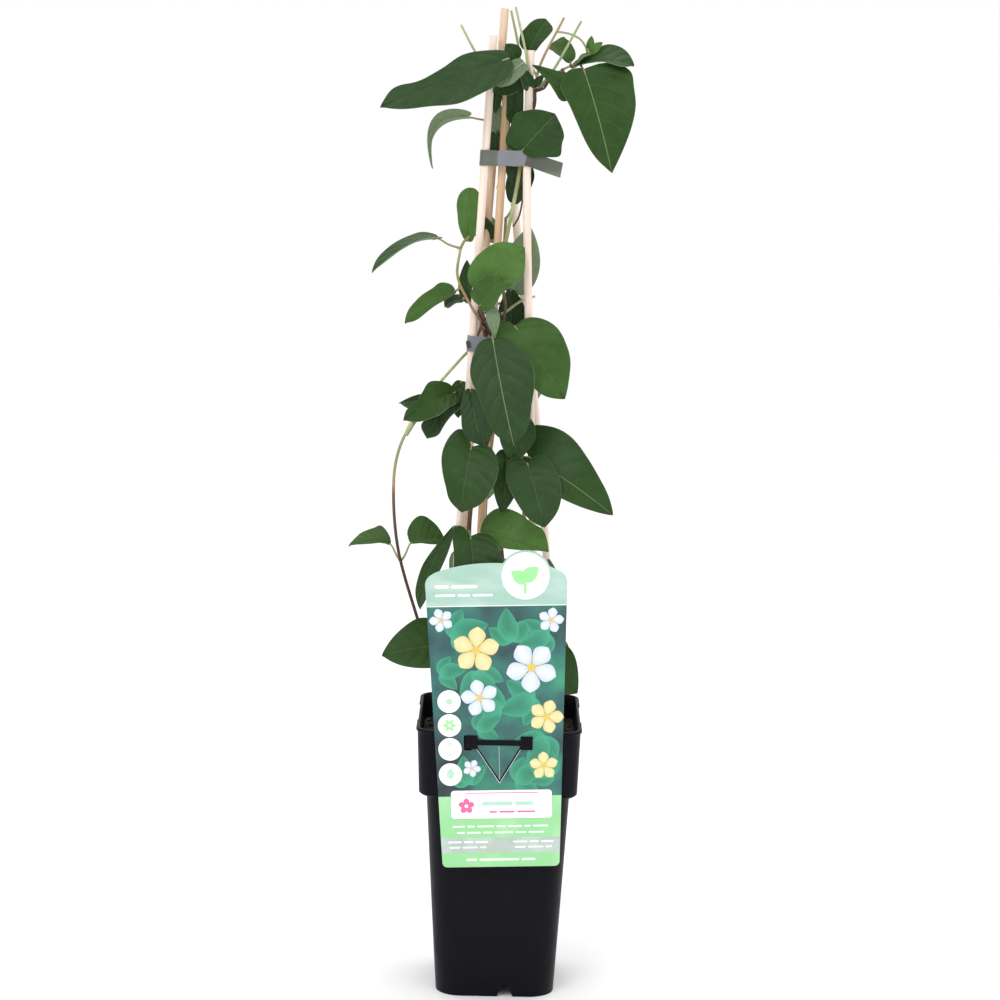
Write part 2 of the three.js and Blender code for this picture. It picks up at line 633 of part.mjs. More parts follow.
function bladeGeometry(item) {
  const frameAt = bladeFrame(item);
  const { rows, across } = frameAt(0).length < smallBlade.under ? smallBlade : blade;
  const columns = across + 1;
  const points = [];
  for (const offset of [blade.thick / 2, -blade.thick / 2]) {
    points.push(bladePoint(item, frameAt, 0, 0, offset));
    for (const u of rows) {
      for (let k = 0; k < columns; k++) {
        points.push(bladePoint(item, frameAt, u, (2 * k) / across - 1, offset));
      }
    }
    points.push(bladePoint(item, frameAt, 1, 0, offset));
  }
  const under = points.length / 2;
  const tip = under - 1;
  const last = rows.length - 1;
  const at = (row, k) => 1 + row * columns + k;
  const triangles = [];
  const bothFaces = (a, b, c) => triangles.push(a, b, c, under + a, under + c, under + b);
  const rim = (a, b) => triangles.push(a, under + b, b, a, under + a, under + b);
  for (let k = 0; k < across; k++) {
    bothFaces(0, at(0, k + 1), at(0, k));
    bothFaces(at(last, k), at(last, k + 1), tip);
    for (let row = 0; row < last; row++) {
      bothFaces(at(row, k), at(row, k + 1), at(row + 1, k + 1));
      bothFaces(at(row, k), at(row + 1, k + 1), at(row + 1, k));
    }
  }
  for (let row = 0; row < last; row++) {
    rim(at(row + 1, 0), at(row, 0));
    rim(at(row, across), at(row + 1, across));
  }
  rim(at(0, 0), 0);
  rim(0, at(0, across));
  rim(at(last, across), tip);
  rim(tip, at(last, 0));
  return meshGeometry(points, triangles);
}

// The nearest point of the stem above the soil
function nearestOnShoots(shoots, target) {
  let best = null;
  for (const { points } of shoots) {
    for (const p of smoothCurve(points).getPoints(points.length * 12)) {
      const distance = p.distanceTo(target);
      if (p.z > petiole.lowest && (!best || distance < best.distance)) best = { point: p, distance };
    }
  }
  return best.point;
}

function petioleGeometry(item, shoots) {
  const base = vector(item.base);
  const root = nearestOnShoots(shoots, item.via.length ? vector(item.via[0]) : base);
  const sag = root.clone().lerp(base, petiole.sagAt);
  sag.z -= petiole.sag * root.distanceTo(base);
  const route = item.via.length ? item.via : [sag.toArray()];
  const inBlade = bladeFrame(item)(petiole.into).centre;
  return taperedTube([root.toArray(), ...route, item.base, inBlade.toArray()], petiole, petiole);
}

function taperedTube(points, { from, to }, { sides, spacing }) {
  return tube(points, (share) => THREE.MathUtils.lerp(from, to, share), sides, spacing);
}

function makeStem({ shoots, leaves, stubs }) {
  const geometries = [
    ...shoots.map((item) => taperedTube(item.points, item, stemFacets)),
    ...stubs.map((points) => taperedTube(points, stub, petiole)),
    ...leaves.map((item) => petioleGeometry(item, shoots)),
    ...leaves.map(bladeGeometry),
  ];
  return geometries.map(solidFrom).reduce((whole, piece) => whole.add(piece));
}

// The plant

const vine = new THREE.Group();

function place(name, solid, colour, roughness) {
  const material = new THREE.MeshStandardMaterial({ color: colour, roughness, metalness: 0 });
  const mesh = new THREE.Mesh(geometryFrom(solid), material);
  mesh.name = name;
  vine.add(mesh);
}

place("pot", makePot(), colours.pot, 0.45);
place("soil", makeSoil(), colours.soil, 0.95);
place("label_card", makeCard(), colours.label_card, 0.3);
for (const name of Object.keys(canes)) {
  place(name, makeCane(name), name === "cane_bamboo" ? colours.bamboo : colours.cane, 0.7);
}
for (const name of Object.keys(ties)) {
  place(name, makeTie(name), colours.tie, 0.4);
}
for (const [name, stem] of Object.entries(stems)) {
  place(name, makeStem(stem), colours.stem, 0.5);
}

export default vine;
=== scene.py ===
# A honeysuckle vine on canes in a black nursery pot, dressed for close looks.
import math
import random

import bmesh
import bpy
from mathutils import Matrix, Vector, noise
from mathutils.geometry import convex_hull_2d, interpolate_bezier


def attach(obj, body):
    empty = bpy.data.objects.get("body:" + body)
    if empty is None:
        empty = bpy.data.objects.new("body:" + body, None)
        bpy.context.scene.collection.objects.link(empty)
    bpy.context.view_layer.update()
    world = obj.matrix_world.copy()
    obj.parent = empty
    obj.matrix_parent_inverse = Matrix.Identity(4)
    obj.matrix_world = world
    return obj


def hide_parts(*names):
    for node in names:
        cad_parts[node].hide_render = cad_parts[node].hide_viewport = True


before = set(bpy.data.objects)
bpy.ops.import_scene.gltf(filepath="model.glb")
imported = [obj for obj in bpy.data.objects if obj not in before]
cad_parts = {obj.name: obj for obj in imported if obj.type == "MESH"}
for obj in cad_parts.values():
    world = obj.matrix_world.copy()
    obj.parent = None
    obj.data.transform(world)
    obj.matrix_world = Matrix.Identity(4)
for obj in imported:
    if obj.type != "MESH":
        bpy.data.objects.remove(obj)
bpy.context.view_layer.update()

mm = 0.001
print("frame loaded:", len(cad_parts), "nodes")


def addObject(name, data):
    thing = bpy.data.objects.new(name, data)
    bpy.context.scene.collection.objects.link(thing)
    return thing


def intoMesh(bm, name):
    mesh = bpy.data.meshes.new(name)
    bm.to_mesh(mesh)
    bm.free()
    return mesh


def bevel(bm, geom, offset, segments=2, affect="EDGES"):
    # `geom` is eased by an offset in millimetres
    bmesh.ops.bevel(bm, geom=geom, offset=offset * mm, segments=segments, profile=0.5, affect=affect,
                    material=-1)


def lerp(a, b, share):
    return a + (b - a) * share


view = {
    "back": 1.8,  # metres in front of the pot's middle
    "height": 0.635,
    "aside": -0.0023,
    "pitch": 9.61,  # degrees below the horizon
    "roll": 1.08,
    "lens": 99.1,
    "farthest": 50,
}

studio = {
    "world": 0.98,
    "floorColour": (0.95, 0.95, 0.95, 1),
    "floorHalf": 4,
    "sweep": 1.5,  # radius where the floor turns up into the backdrop
    "aim": (0, 0, 0.35),
    "lamps": {
        "key": {"at": (-0.9, -1.7, 1.9), "size": 1.1, "power": 16},
        "fill": {"at": (1.5, -1.5, 0.9), "size": 1.6, "power": 5},
        "top": {"at": (0.1, 0.5, 2.2), "size": 1.5, "power": 12},
    },
}


def makeCamera():
    camera = addObject("camera", bpy.data.cameras.new("camera"))
    camera.data.lens = view["lens"]
    camera.data.clip_end = view["farthest"]
    tilt = Matrix.Rotation(math.radians(90 - view["pitch"]), 4, "X")
    roll = Matrix.Rotation(math.radians(view["roll"]), 4, "Z")
    place = Matrix.Translation((view["aside"], -view["back"], view["height"]))
    camera.matrix_world = place @ tilt @ roll
    bpy.context.scene.camera = camera


def makeLights():
    for name, settings in studio["lamps"].items():
        lamp = addObject(name, bpy.data.lights.new(name, "AREA"))
        lamp.data.energy = settings["power"]
        lamp.data.size = settings["size"]
        lamp.location = settings["at"]
        aim = Vector(studio["aim"]) - Vector(settings["at"])
        lamp.rotation_euler = aim.to_track_quat("-Z", "Y").to_euler()
    scene = bpy.context.scene
    scene.view_settings.view_transform = "Standard"
    scene.world = bpy.data.worlds.new("studio")
    scene.world.use_nodes = True
    sky = scene.world.node_tree.nodes["Background"].inputs
    sky["Strength"].default_value = studio["world"]
    sky["Color"].default_value = (1, 1, 1, 1)


def makeFloor():
    # a pale floor that sweeps up into the backdrop
    bm = bmesh.new()
    half = studio["floorHalf"]
    bmesh.ops.create_grid(bm, x_segments=1, y_segments=1, size=half)
    fold = [edge for edge in bm.edges if all(v.co.y > 0 for v in edge.verts)]
    raised = bmesh.ops.extrude_edge_only(bm, edges=fold)["geom"]
    wall = [g for g in raised if isinstance(g, bmesh.types.BMVert)]
    bmesh.ops.translate(bm, vec=(0, 0, half), verts=wall)
    bevel(bm, fold, studio["sweep"] / mm, 16)
    mesh = intoMesh(bm, "floor")
    mesh.shade_smooth()
    paper = bpy.data.materials.new("floorPaper")
    paper.use_nodes = True
    shader = paper.node_tree.nodes["Principled BSDF"]
    shader.inputs["Base Color"].default_value = studio["floorColour"]
    shader.inputs["Roughness"].default_value = 0.9
    mesh.materials.append(paper)
    addObject("floor", mesh)


makeCamera()
makeLights()
makeFloor()
print("camera, light and floor ready")


def mathNode(operation):
    return lambda self, other=0.0: self.maths(operation, self, other)


class Wire:
    # a node's output that Python's operators add Math nodes to
    __add__ = __radd__ = mathNode("ADD")
    __sub__ = mathNode("SUBTRACT")
    __mul__ = __rmul__ = mathNode("MULTIPLY")
    __truediv__ = mathNode("DIVIDE")
    __abs__ = mathNode("ABSOLUTE")
    below = mathNode("LESS_THAN")
    above = mathNode("GREATER_THAN")
    larger = mathNode("MAXIMUM")
    wrapped = mathNode("FRACT")

    def __init__(self, tree, socket):
        self.tree = tree
        self.socket = socket

    def add(self, kind, settings=None, sockets=None, output=0):
        node = self.tree.nodes.new(kind)
        for name, value in (settings or {}).items():
            setattr(node, name, value)
        for name, value in (sockets or {}).items():
            self.feed(node.inputs[name], value)
        return Wire(self.tree, node.outputs[output])

    def feed(self, target, value):
        if isinstance(value, Wire):
            self.tree.links.new(value.socket, target)
        else:
            target.default_value = value

    def maths(self, operation, first, second):
        return self.add("ShaderNodeMath", {"operation": operation}, {0: first, 1: second})

    def __rsub__(self, other):
        return self.maths("SUBTRACT", other, self)

    def fade(self, start, end):
        # 0 before start, 1 after end, smooth between
        return self.add("ShaderNodeMapRange", {"interpolation_type": "SMOOTHSTEP"},
                        {"Value": self, "From Min": start, "From Max": end})

    def mixed(self, first, second):
        # this value chooses between two colours
        return self.add("ShaderNodeMix", {"data_type": "RGBA"}, {0: self, 6: first, 7: second}, output=2)

    def ramp(self, stops):
        colour = self.add("ShaderNodeValToRGB", sockets={0: self})
        elements = colour.socket.node.color_ramp.elements
        elements.remove(elements[-1])
        elements[0].position, elements[0].color = stops[0]
        for position, shade in stops[1:]:
            elements.new(position).color = shade
        return colour


class Finish:
    # a new material with its Principled shader and the wires that patterns start from
    def __init__(self, name):
        self.material = bpy.data.materials.new(name)
        self.material.use_nodes = True
        self.tree = self.material.node_tree
        self.inputs = self.tree.nodes["Principled BSDF"].inputs
        self.place = Wire(self.tree, self.tree.nodes.new("ShaderNodeTexCoord").outputs["Object"])

    def read(self, attribute):
        return self.place.add("ShaderNodeAttribute", {"attribute_name": attribute}, output="Fac")

    def noise(self, scale, detail=3.0, vector=None, roughness=0.55):
        return self.place.add("ShaderNodeTexNoise", {}, {"Vector": vector or self.place, "Scale": scale,
                                                         "Detail": detail, "Roughness": roughness})

    def streaks(self, scale, detail=3.0, roughness=0.55, turn=0):
        # noise scaled on each axis, and turned by some degrees in the front view
        sockets = {"Vector": self.place, "Scale": scale, "Rotation": (0, math.radians(turn), 0)}
        return self.noise(1, detail, self.place.add("ShaderNodeMapping", {}, sockets), roughness)

    def cells(self, scale, feature):
        return self.place.add("ShaderNodeTexVoronoi", {"feature": feature},
                              {"Vector": self.place, "Scale": scale})

    def wear(self, colour, roughness, height, depth, specular=0.5, coat=0):
        # the pattern goes onto the shader; `height` is a relief of `depth` millimetres
        bump = self.place.add("ShaderNodeBump", {}, {"Height": height, "Distance": depth * mm})
        for name, value in (("Base Color", colour), ("Roughness", roughness), ("Normal", bump),
                            ("Specular IOR Level", specular), ("Coat Weight", coat)):
            self.place.feed(self.inputs[name], value)
        return self.material


def finishPiece(bm, name, materials, replaced=(), sharp=50):
    # the finished piece, smooth but for edges sharper than an angle
    mesh = intoMesh(bm, name)
    for material in materials:
        mesh.materials.append(material)
    piece = addObject(name, mesh)
    mesh.shade_smooth()
    mesh.set_sharp_from_angle(angle=math.radians(sharp))
    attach(piece, "root")
    if replaced:
        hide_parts(*replaced)
    print("made", name, len(mesh.polygons), "faces")


def addGrid(bm, columns, rows):
    # a flat grid from -1 to 1, as each vertex with its column and its row
    verts = bmesh.ops.create_grid(bm, x_segments=columns, y_segments=rows, size=1)["verts"]
    return [(vertex, round((vertex.co.x + 1) / 2 * columns), round((vertex.co.y + 1) / 2 * rows))
            for vertex in verts]


def lengthsAlong(line):
    lengths = [0.0]
    for a, b in zip(line, line[1:]):
        lengths.append(lengths[-1] + (b - a).length)
    return lengths


def smoothLine(points, spacing):
    # points along one smooth curve through the given ones
    points = [Vector(point) for point in points]
    ends = [2 * points[0] - points[1], *points, 2 * points[-1] - points[-2]]
    line = [points[0]]
    for before, start, end, after in zip(ends, ends[1:], ends[2:], ends[3:]):
        length = (end - start).length
        leave = (end - before) * (length / ((start - before).length + length) / 3)
        arrive = (after - start) * (length / ((after - end).length + length) / 3)
        steps = max(2, round(length / spacing))
        line += interpolate_bezier(start, start + leave, end - arrive, end, steps + 1)[1:]
    return line


def addTube(bm, line, radiusAt, sides, ageAt, capMaterial=0):
    # a grid rolled up round a line in millimetres; `age` is kept on its vertices
    age = bm.verts.layers.float["age"]
    line = [point * mm for point in line]
    last = len(line) - 1
    lengths = lengthsAlong(line)
    normal = Vector((0.3, 1, 0.2)).cross(line[1] - line[0]).normalized()
    frames = []
    for i, centre in enumerate(line):
        tangent = (line[min(i + 1, last)] - line[max(i - 1, 0)]).normalized()
        normal = (normal - tangent * normal.dot(tangent)).normalized()
        frames.append((centre, normal, tangent.cross(normal)))
    grid = addGrid(bm, sides, last)
    for vertex, _, station in grid:
        angle = (vertex.co.x + 1) * math.pi
        share = lengths[station] / lengths[-1]
        centre, across, up = frames[station]
        radius = radiusAt(share, centre)
        vertex.co = centre + across * (radius * math.cos(angle)) + up * (radius * math.sin(angle))
        vertex[age] = ageAt(share, centre)
    verts = [spot[0] for spot in grid]
    edges = {edge for vertex in verts for edge in vertex.link_edges}
    bmesh.ops.remove_doubles(bm, verts=verts, dist=1e-7)
    rims = [edge for edge in edges if edge.is_valid and edge.is_boundary]
    for face in bmesh.ops.holes_fill(bm, edges=rims, sides=0)["faces"]:
        face.material_index = capMaterial
    return rims


leafLook = {
    "deep": (0.020, 0.049, 0.015, 1),
    "usual": (0.020, 0.060, 0.006, 1),
    "bright": (0.080, 0.180, 0.034, 1),
    "vein": (0.075, 0.15, 0.045, 1),
    "rib": (0.26, 0.38, 0.15, 1),
    "under": (0.095, 0.155, 0.075, 1),
    "underVein": (0.22, 0.29, 0.16, 1),
    "veins": 6,  # side veins on each side of the midrib
    "lean": (0.16, 0.12),  # how far the side veins run forwards, straight and curved
}


def veinPhase(along, side):
    straight, curved = leafLook["lean"]
    return (along - straight * side - curved * side * side) * leafLook["veins"]


def leafPattern(finish):
    # how near the margin a place is, then how much of each pattern lies there, and the leaf's tone
    side = abs(finish.read("across"))
    reach = abs(finish.read("reach"))
    phase = veinPhase(finish.read("along"), side)
    distance = abs((phase + 0.5).wrapped() - 0.5)
    sideVein = (1 - distance.fade(0.0, 0.055)) * (1 - side.fade(0.5, 1.0))
    pillow = distance.fade(0.0, 0.4)
    midrib = 1 - reach.fade(0.12, 0.55)
    net = 1 - finish.cells(620, "DISTANCE_TO_EDGE").fade(0.0, 0.09)
    return side, midrib, sideVein, pillow, net, finish.read("tone") * 0.5 + 0.5


def makeLeafTop():
    finish = Finish("leafTop")
    side, midrib, sideVein, pillow, net, tone = leafPattern(finish)
    cloud = finish.noise(85, 3)
    shade = tone + (finish.noise(28, 2) - 0.5) * 0.25
    green = shade.ramp([(0.0, leafLook["deep"]), (0.5, leafLook["usual"]), (1.0, leafLook["bright"])])
    darker = green.add("ShaderNodeHueSaturation", {}, {"Color": green, "Value": 0.72, "Saturation": 1.05})
    body = (cloud.fade(0.35, 0.7) * 0.7).mixed(green, darker)
    body = (net * 0.16).mixed(body, leafLook["vein"])
    rib = finish.read("rib")
    body = (sideVein * rib * 0.4).mixed(body, leafLook["vein"])
    body = (side.fade(0.965, 1.0) * 0.25).mixed(body, leafLook["vein"])
    colour = (midrib * rib).mixed(body, leafLook["rib"])
    height = pillow * 0.5 - sideVein * 0.15 - midrib * 0.6 - net * 0.07 + cloud * 0.12
    return finish.wear(colour, 0.36 + finish.noise(140, 2) * 0.16 + net * 0.06, height, 0.35, specular=0.2)


def makeLeafUnder():
    finish = Finish("leafUnder")
    midrib, sideVein, pillow, net, tone = leafPattern(finish)[1:]
    cloud = finish.noise(90, 3)
    pale = (tone * 0.35 + cloud * 0.25).mixed(leafLook["under"], leafLook["underVein"])
    body = (net * 0.35).mixed(pale, leafLook["underVein"])
    colour = (sideVein * 0.5 + midrib * 0.8).mixed(body, leafLook["underVein"])
    height = sideVein * 0.8 + net * 0.2 + midrib - pillow * 0.5
    return finish.wear(colour, 0.62 + cloud * 0.12, height, 0.3)


woodLook = [
    (0.00, (0.48, 0.52, 0.26, 1)),  # cut shoots, pale green
    (0.20, (0.24, 0.27, 0.13, 1)),
    (0.40, (0.33, 0.27, 0.08, 1)),  # olive
    (0.60, (0.36, 0.22, 0.12, 1)),
    (0.80, (0.115, 0.058, 0.030, 1)),
    (1.00, (0.050, 0.018, 0.012, 1)),  # dark red-brown
]


def makeStemBark():
    finish = Finish("stemBark")
    streak = finish.streaks((900, 900, 60), 4)
    mottle = finish.noise(160, 3)
    colour = (finish.read("age") + (streak - 0.5) * 0.3).ramp(woodLook)
    pale = (mottle.fade(0.55, 0.8) * 0.15).mixed(colour, (0.34, 0.30, 0.17, 1))
    return finish.wear(pale, 0.5 + mottle * 0.2, streak + mottle * 0.4, 0.16)


def makeCutWood():
    finish = Finish("stemCut")
    rings = finish.noise(700, 2)
    colour = rings.mixed((0.42, 0.36, 0.20, 1), (0.62, 0.58, 0.38, 1))
    return finish.wear(colour, 0.7, rings, 0.1)


def makeCaneWood(name, pale, dark, ring):
    finish = Finish(name)
    grain = finish.streaks((520, 520, 9), 5, 0.6)
    fibre = finish.streaks((2200, 2200, 36))
    stain = finish.streaks((60, 60, 14), 2)
    body = grain.fade(0.38, 0.68).mixed(pale, dark)
    body = (fibre.fade(0.5, 0.8) * 0.3).mixed(body, ring)
    colour = (stain.fade(0.6, 0.85) * 0.45).mixed(body, ring)
    return finish.wear(colour, 0.55 + grain * 0.25, grain * 0.5 + fibre * 0.5, 0.14)


tapeLook = [
    (0.0, (0.20, 0.205, 0.24, 1)),  # lilac-grey where it is stretched over the canes
    (0.35, (0.14, 0.15, 0.15, 1)),
    (0.6, (0.10, 0.115, 0.085, 1)),  # grey-green where it is loose or double
    (1.0, (0.065, 0.07, 0.05, 1)),
]


def makeTapeFilm():
    finish = Finish("tieTape")
    wrinkle = finish.streaks((260, 260, 60))
    film = (finish.read("age") + (finish.noise(60, 2) - 0.5) * 0.5).ramp(tapeLook)
    return finish.wear(film, 0.26 + wrinkle * 0.2, wrinkle, 0.35)


def makePotPlastic():
    finish = Finish("potPlastic")
    grainy = finish.noise(1500, 2)
    flow = finish.streaks((14, 14, 70))
    scuff = finish.streaks((240, 240, 900), 4)
    dust = finish.noise(52, 5)
    body = flow.mixed((0.0028, 0.0026, 0.0050, 1), (0.0045, 0.0043, 0.0078, 1))
    body = (scuff.fade(0.62, 0.75) * 0.12).mixed(body, (0.022, 0.022, 0.029, 1))
    colour = (dust.fade(0.6, 0.8) * 0.15).mixed(body, (0.014, 0.013, 0.014, 1))
    roughness = 0.36 + grainy * 0.12 + dust.fade(0.5, 0.8) * 0.15
    return finish.wear(colour, roughness, grainy + flow * 3, 0.04, specular=0.09)


def makeCompost():
    finish = Finish("compost")
    clod = finish.noise(90, 5)
    fine = finish.noise(900, 3)
    body = clod.mixed((0.012, 0.008, 0.005, 1), (0.045, 0.028, 0.016, 1))
    colour = (fine.fade(0.55, 0.75) * 0.6).mixed(body, (0.09, 0.055, 0.03, 1))
    return finish.wear(colour, 0.85 + fine * 0.1, clod + fine * 0.6 - finish.cells(420, "F1"), 1.2)


def makeBarkChip():
    finish = Finish("barkChip")
    grain = finish.streaks((900, 500, 1400), 4)
    dark = finish.noise(60, 1).fade(0.4, 0.6).mixed((0.035, 0.018, 0.010, 1), (0.11, 0.062, 0.032, 1))
    return finish.wear((grain * 0.6).mixed(dark, (0.19, 0.12, 0.07, 1)), 0.85, grain, 0.3)


finishes = {
    "leafTop": makeLeafTop(),
    "leafUnder": makeLeafUnder(),
    "bark": makeStemBark(),
    "cut": makeCutWood(),
    "cane": makeCaneWood("caneWood", (0.88, 0.75, 0.66, 1), (0.82, 0.66, 0.55, 1), (0.66, 0.46, 0.32, 1)),
    "tan": makeCaneWood("tanWood", (0.76, 0.56, 0.41, 1), (0.62, 0.43, 0.28, 1), (0.42, 0.27, 0.15, 1)),
    "bamboo": makeCaneWood("bambooSkin", (0.66, 0.46, 0.29, 1), (0.54, 0.34, 0.18, 1), (0.32, 0.17, 0.08, 1)),
    "tape": makeTapeFilm(),
    "pot": makePotPlastic(),
    "compost": makeCompost(),
    "chip": makeBarkChip(),
}
print("finishes ready:", len(finishes))


blade = {
    "facets": (34, 16),  # along and across
    "smallUnder": 26,  # leaves shorter than this get half as many
    "gathered": 0.6,  # how far the facets gather at both ends
    "ends": (0.0015, 0.9985),
    "marks": (0.1, 0.2),  # the first place with a half width of its own, and the step between them
    "thick": 0.42,
    "basePower": 0.5,
    "waves": (9, 2),  # how the margin's waves run along and across
    "bulge": 2.36,  # how far round, in radians, the lobes at the base have turned at the margin
    "quilt": 0.0022,  # relief between the side veins, as a share of the width
    "groove": (0.5, 0.7),  # depth and half width of the groove over the midrib
    "rib": 0.4,  # radius of the midrib under the blade
    "ribTaper": 0.75,
    "ribBelow": 0.95,
    "ribSides": 6,
    "ribAge": 0.1,
}

woody = {
    "petiole": (0.8, 0.56),
    "petioleSides": 8,
    "flare": (0.6, 14),  # swelling of a leaf stalk where it leaves the shoot, and how soon it ends
    "tipAge": 0.6,
    "stub": (0.95, 0.75),
    "lowest": 176,
    "sagAt": 0.55,
    "sag": 0.08,
    "into": 0.08,
    "under": (0.7, 1.3),  # how far below the blade the stalk's last two points lie
    "sides": 12,
    "spacing": 4,
}


# A shoot tapers from one radius to the other; `ages` run from 0 where it is green to 1 where it is brown.
def shoot(points, start, end, ages):
    return {"kind": "shoot", "points": points, "radii": (start, end), "ages": ages}


# What was left of a shoot that has been cut off
def stub(points, start=0.15, end=0.1):
    return {"kind": "stub", "points": points, "radii": woody["stub"], "ages": (start, end)}


# Places are in millimetres. A leaf runs from its base to its tip and turns its upper face to `face`.
# `tone` goes from -1, an old blue-green leaf, to 1, a fresh yellow-green one; on some leaves deep in the
# shadow of others a low tone is also painted shade. `left` and `right` give a leaf a margin of its own: the
# half widths at 0.1, 0.3, 0.5, 0.7 and 0.9 of its length. `lead` moves the top of its arch towards the tip,
# and `lobe` draws the base back on the left and on the right.
def leaf(base, tip, width, face, tone=0, left=None, right=None, **shape):
    usual = {"arch": 0.1, "cup": 0.15, "wave": 0.03, "rib": 0.12, "widest": 0.36, "lead": 0,
             "lobe": (0.04, 0.04), "stalk": 0.35, "turned": False, "via": []}
    return {**usual, **shape, "kind": "leaf", "base": Vector(base), "tip": Vector(tip), "width": width,
            "face": Vector(face), "tone": tone, "left": left, "right": right}


stems = {}
stems["stem_left"] = [
    shoot([(-30, -8, 150), (-32, -10, 171), (-42, -16, 210), (-55, -20, 252), (-67, -24, 293),
        (-71, -24, 318), (-72, -24, 346), (-70, -23, 362), (-65, -22, 376), (-49, -15, 402), (-29, -13, 426),
        (-21, -7, 434), (-19, -6, 440), (-17, -14, 446), (-17, -21, 451), (-21, -23, 457), (-26, -19, 465),
        (-31, -14, 474), (-33, -10, 482), (-31, -8, 497)], 1.15, 0.85, [1] * 10 + [0.95, 0.88, 0.8, 0.25, 0.2,
        0.12, 0.1, 0.1, 0.1, 0.45, 0.85, 0.7, 0.55, 0.3, 0.05]),
    shoot([(-64.6, -22, 375.5), (-63, -21, 379.5), (-60.8, -20, 383.5)], 1.3, 1.7, (0.1, 0)),
    shoot([(-31, -8, 497), (-29, -4, 501), (-25, -1, 505)], 1, 0.8, (0.3, 0.3)),
    shoot([(-64, -22, 376), (-56, -16, 388), (-46, -13, 399), (-34, -13, 406)], 1.1, 0.8, (0.1, 0.3)),
    leaf((-45.5, -11, 504), (-88, -26, 482), 24, (-0.2, -0.1, 1), 0, (12, 13, 12, 10, 6), (14, 14, 12, 10, 6),
        arch=0.115, wave=0.01, lead=-0.1),
    leaf((-26, -1, 501), (-25, 2, 536), 15, (-0.3, -1, 0.1), 0.8, (3.5, 6, 7, 8, 6), (4, 6.5, 7, 7.5, 6),
        wave=0.01, widest=0.5),
    leaf((-34, -13, 470), (-66, -30, 450), 24, (-0.2, -0.85, 0.5), 0.5, (2.5, 3.5, 3.5, 4, 3),
        (8.5, 8.5, 8, 6.5, 3.5), arch=0.08, wave=0.01),
    leaf((-29, -17, 465), (-41, -18, 460), 13, (0, -0.4, 1), -1.3, (5, 6, 6, 6, 4.5), (5, 6.5, 6.5, 6, 4.5)),
    leaf((-42, -14, 399), (-69.5, -20, 397), 18, (0, -0.7, 0.7), -0.9, (9, 11, 12, 9, 4), (5, 5, 4, 2.5, 1),
        arch=0.03),
    leaf((-33, -17, 404), (-66, -36, 387.5), 24, (-0.3, -0.9, 0.4), 0, (8, 10, 12, 10, 5.5),
        (9, 13, 8.5, 4, 3.5), rib=0.05),
    leaf((-32, -15, 401), (-51, -24, 374), 22, (-0.6, -0.7, 0.1), -0.9, (10, 11, 9.5, 8.5, 6),
        (4, 5, 6, 6.5, 6)),
    leaf((-29, -14, 411), (-31, -12, 386), 13, (-0.2, -1, 0.2), -0.5),
    leaf((-73.5, -16, 302.5), (-101, -26, 303), 24, (-0.1, -0.6, 0.8), 0.3, (1, 1.5, 2.5, 2, 1),
        (14, 13, 10, 7, 2.5), cup=0.05, wave=0.01, via=[(-68, -21.5, 293), (-70, -20, 296)]),
    leaf((-61, -17, 303.5), (-38, -14, 305), 22, (0.2, -0.7, 0.7), 0.1, (12, 18, 18, 14, 7),
        (1.5, 2, 3.5, 4, 2.5), cup=0.05, wave=0.01, lobe=(0.12, 0), via=[(-66, -22, 293), (-64, -20, 296)]),
    leaf((-26, -27, 239), (-78, -38, 232), 36, (-0.3, -0.85, 0.45), -0.2, (15, 16, 15.5, 12.5, 6),
        (17, 19, 19.5, 14.5, 6.5), arch=0.08, cup=0.05, wave=0.01),
]
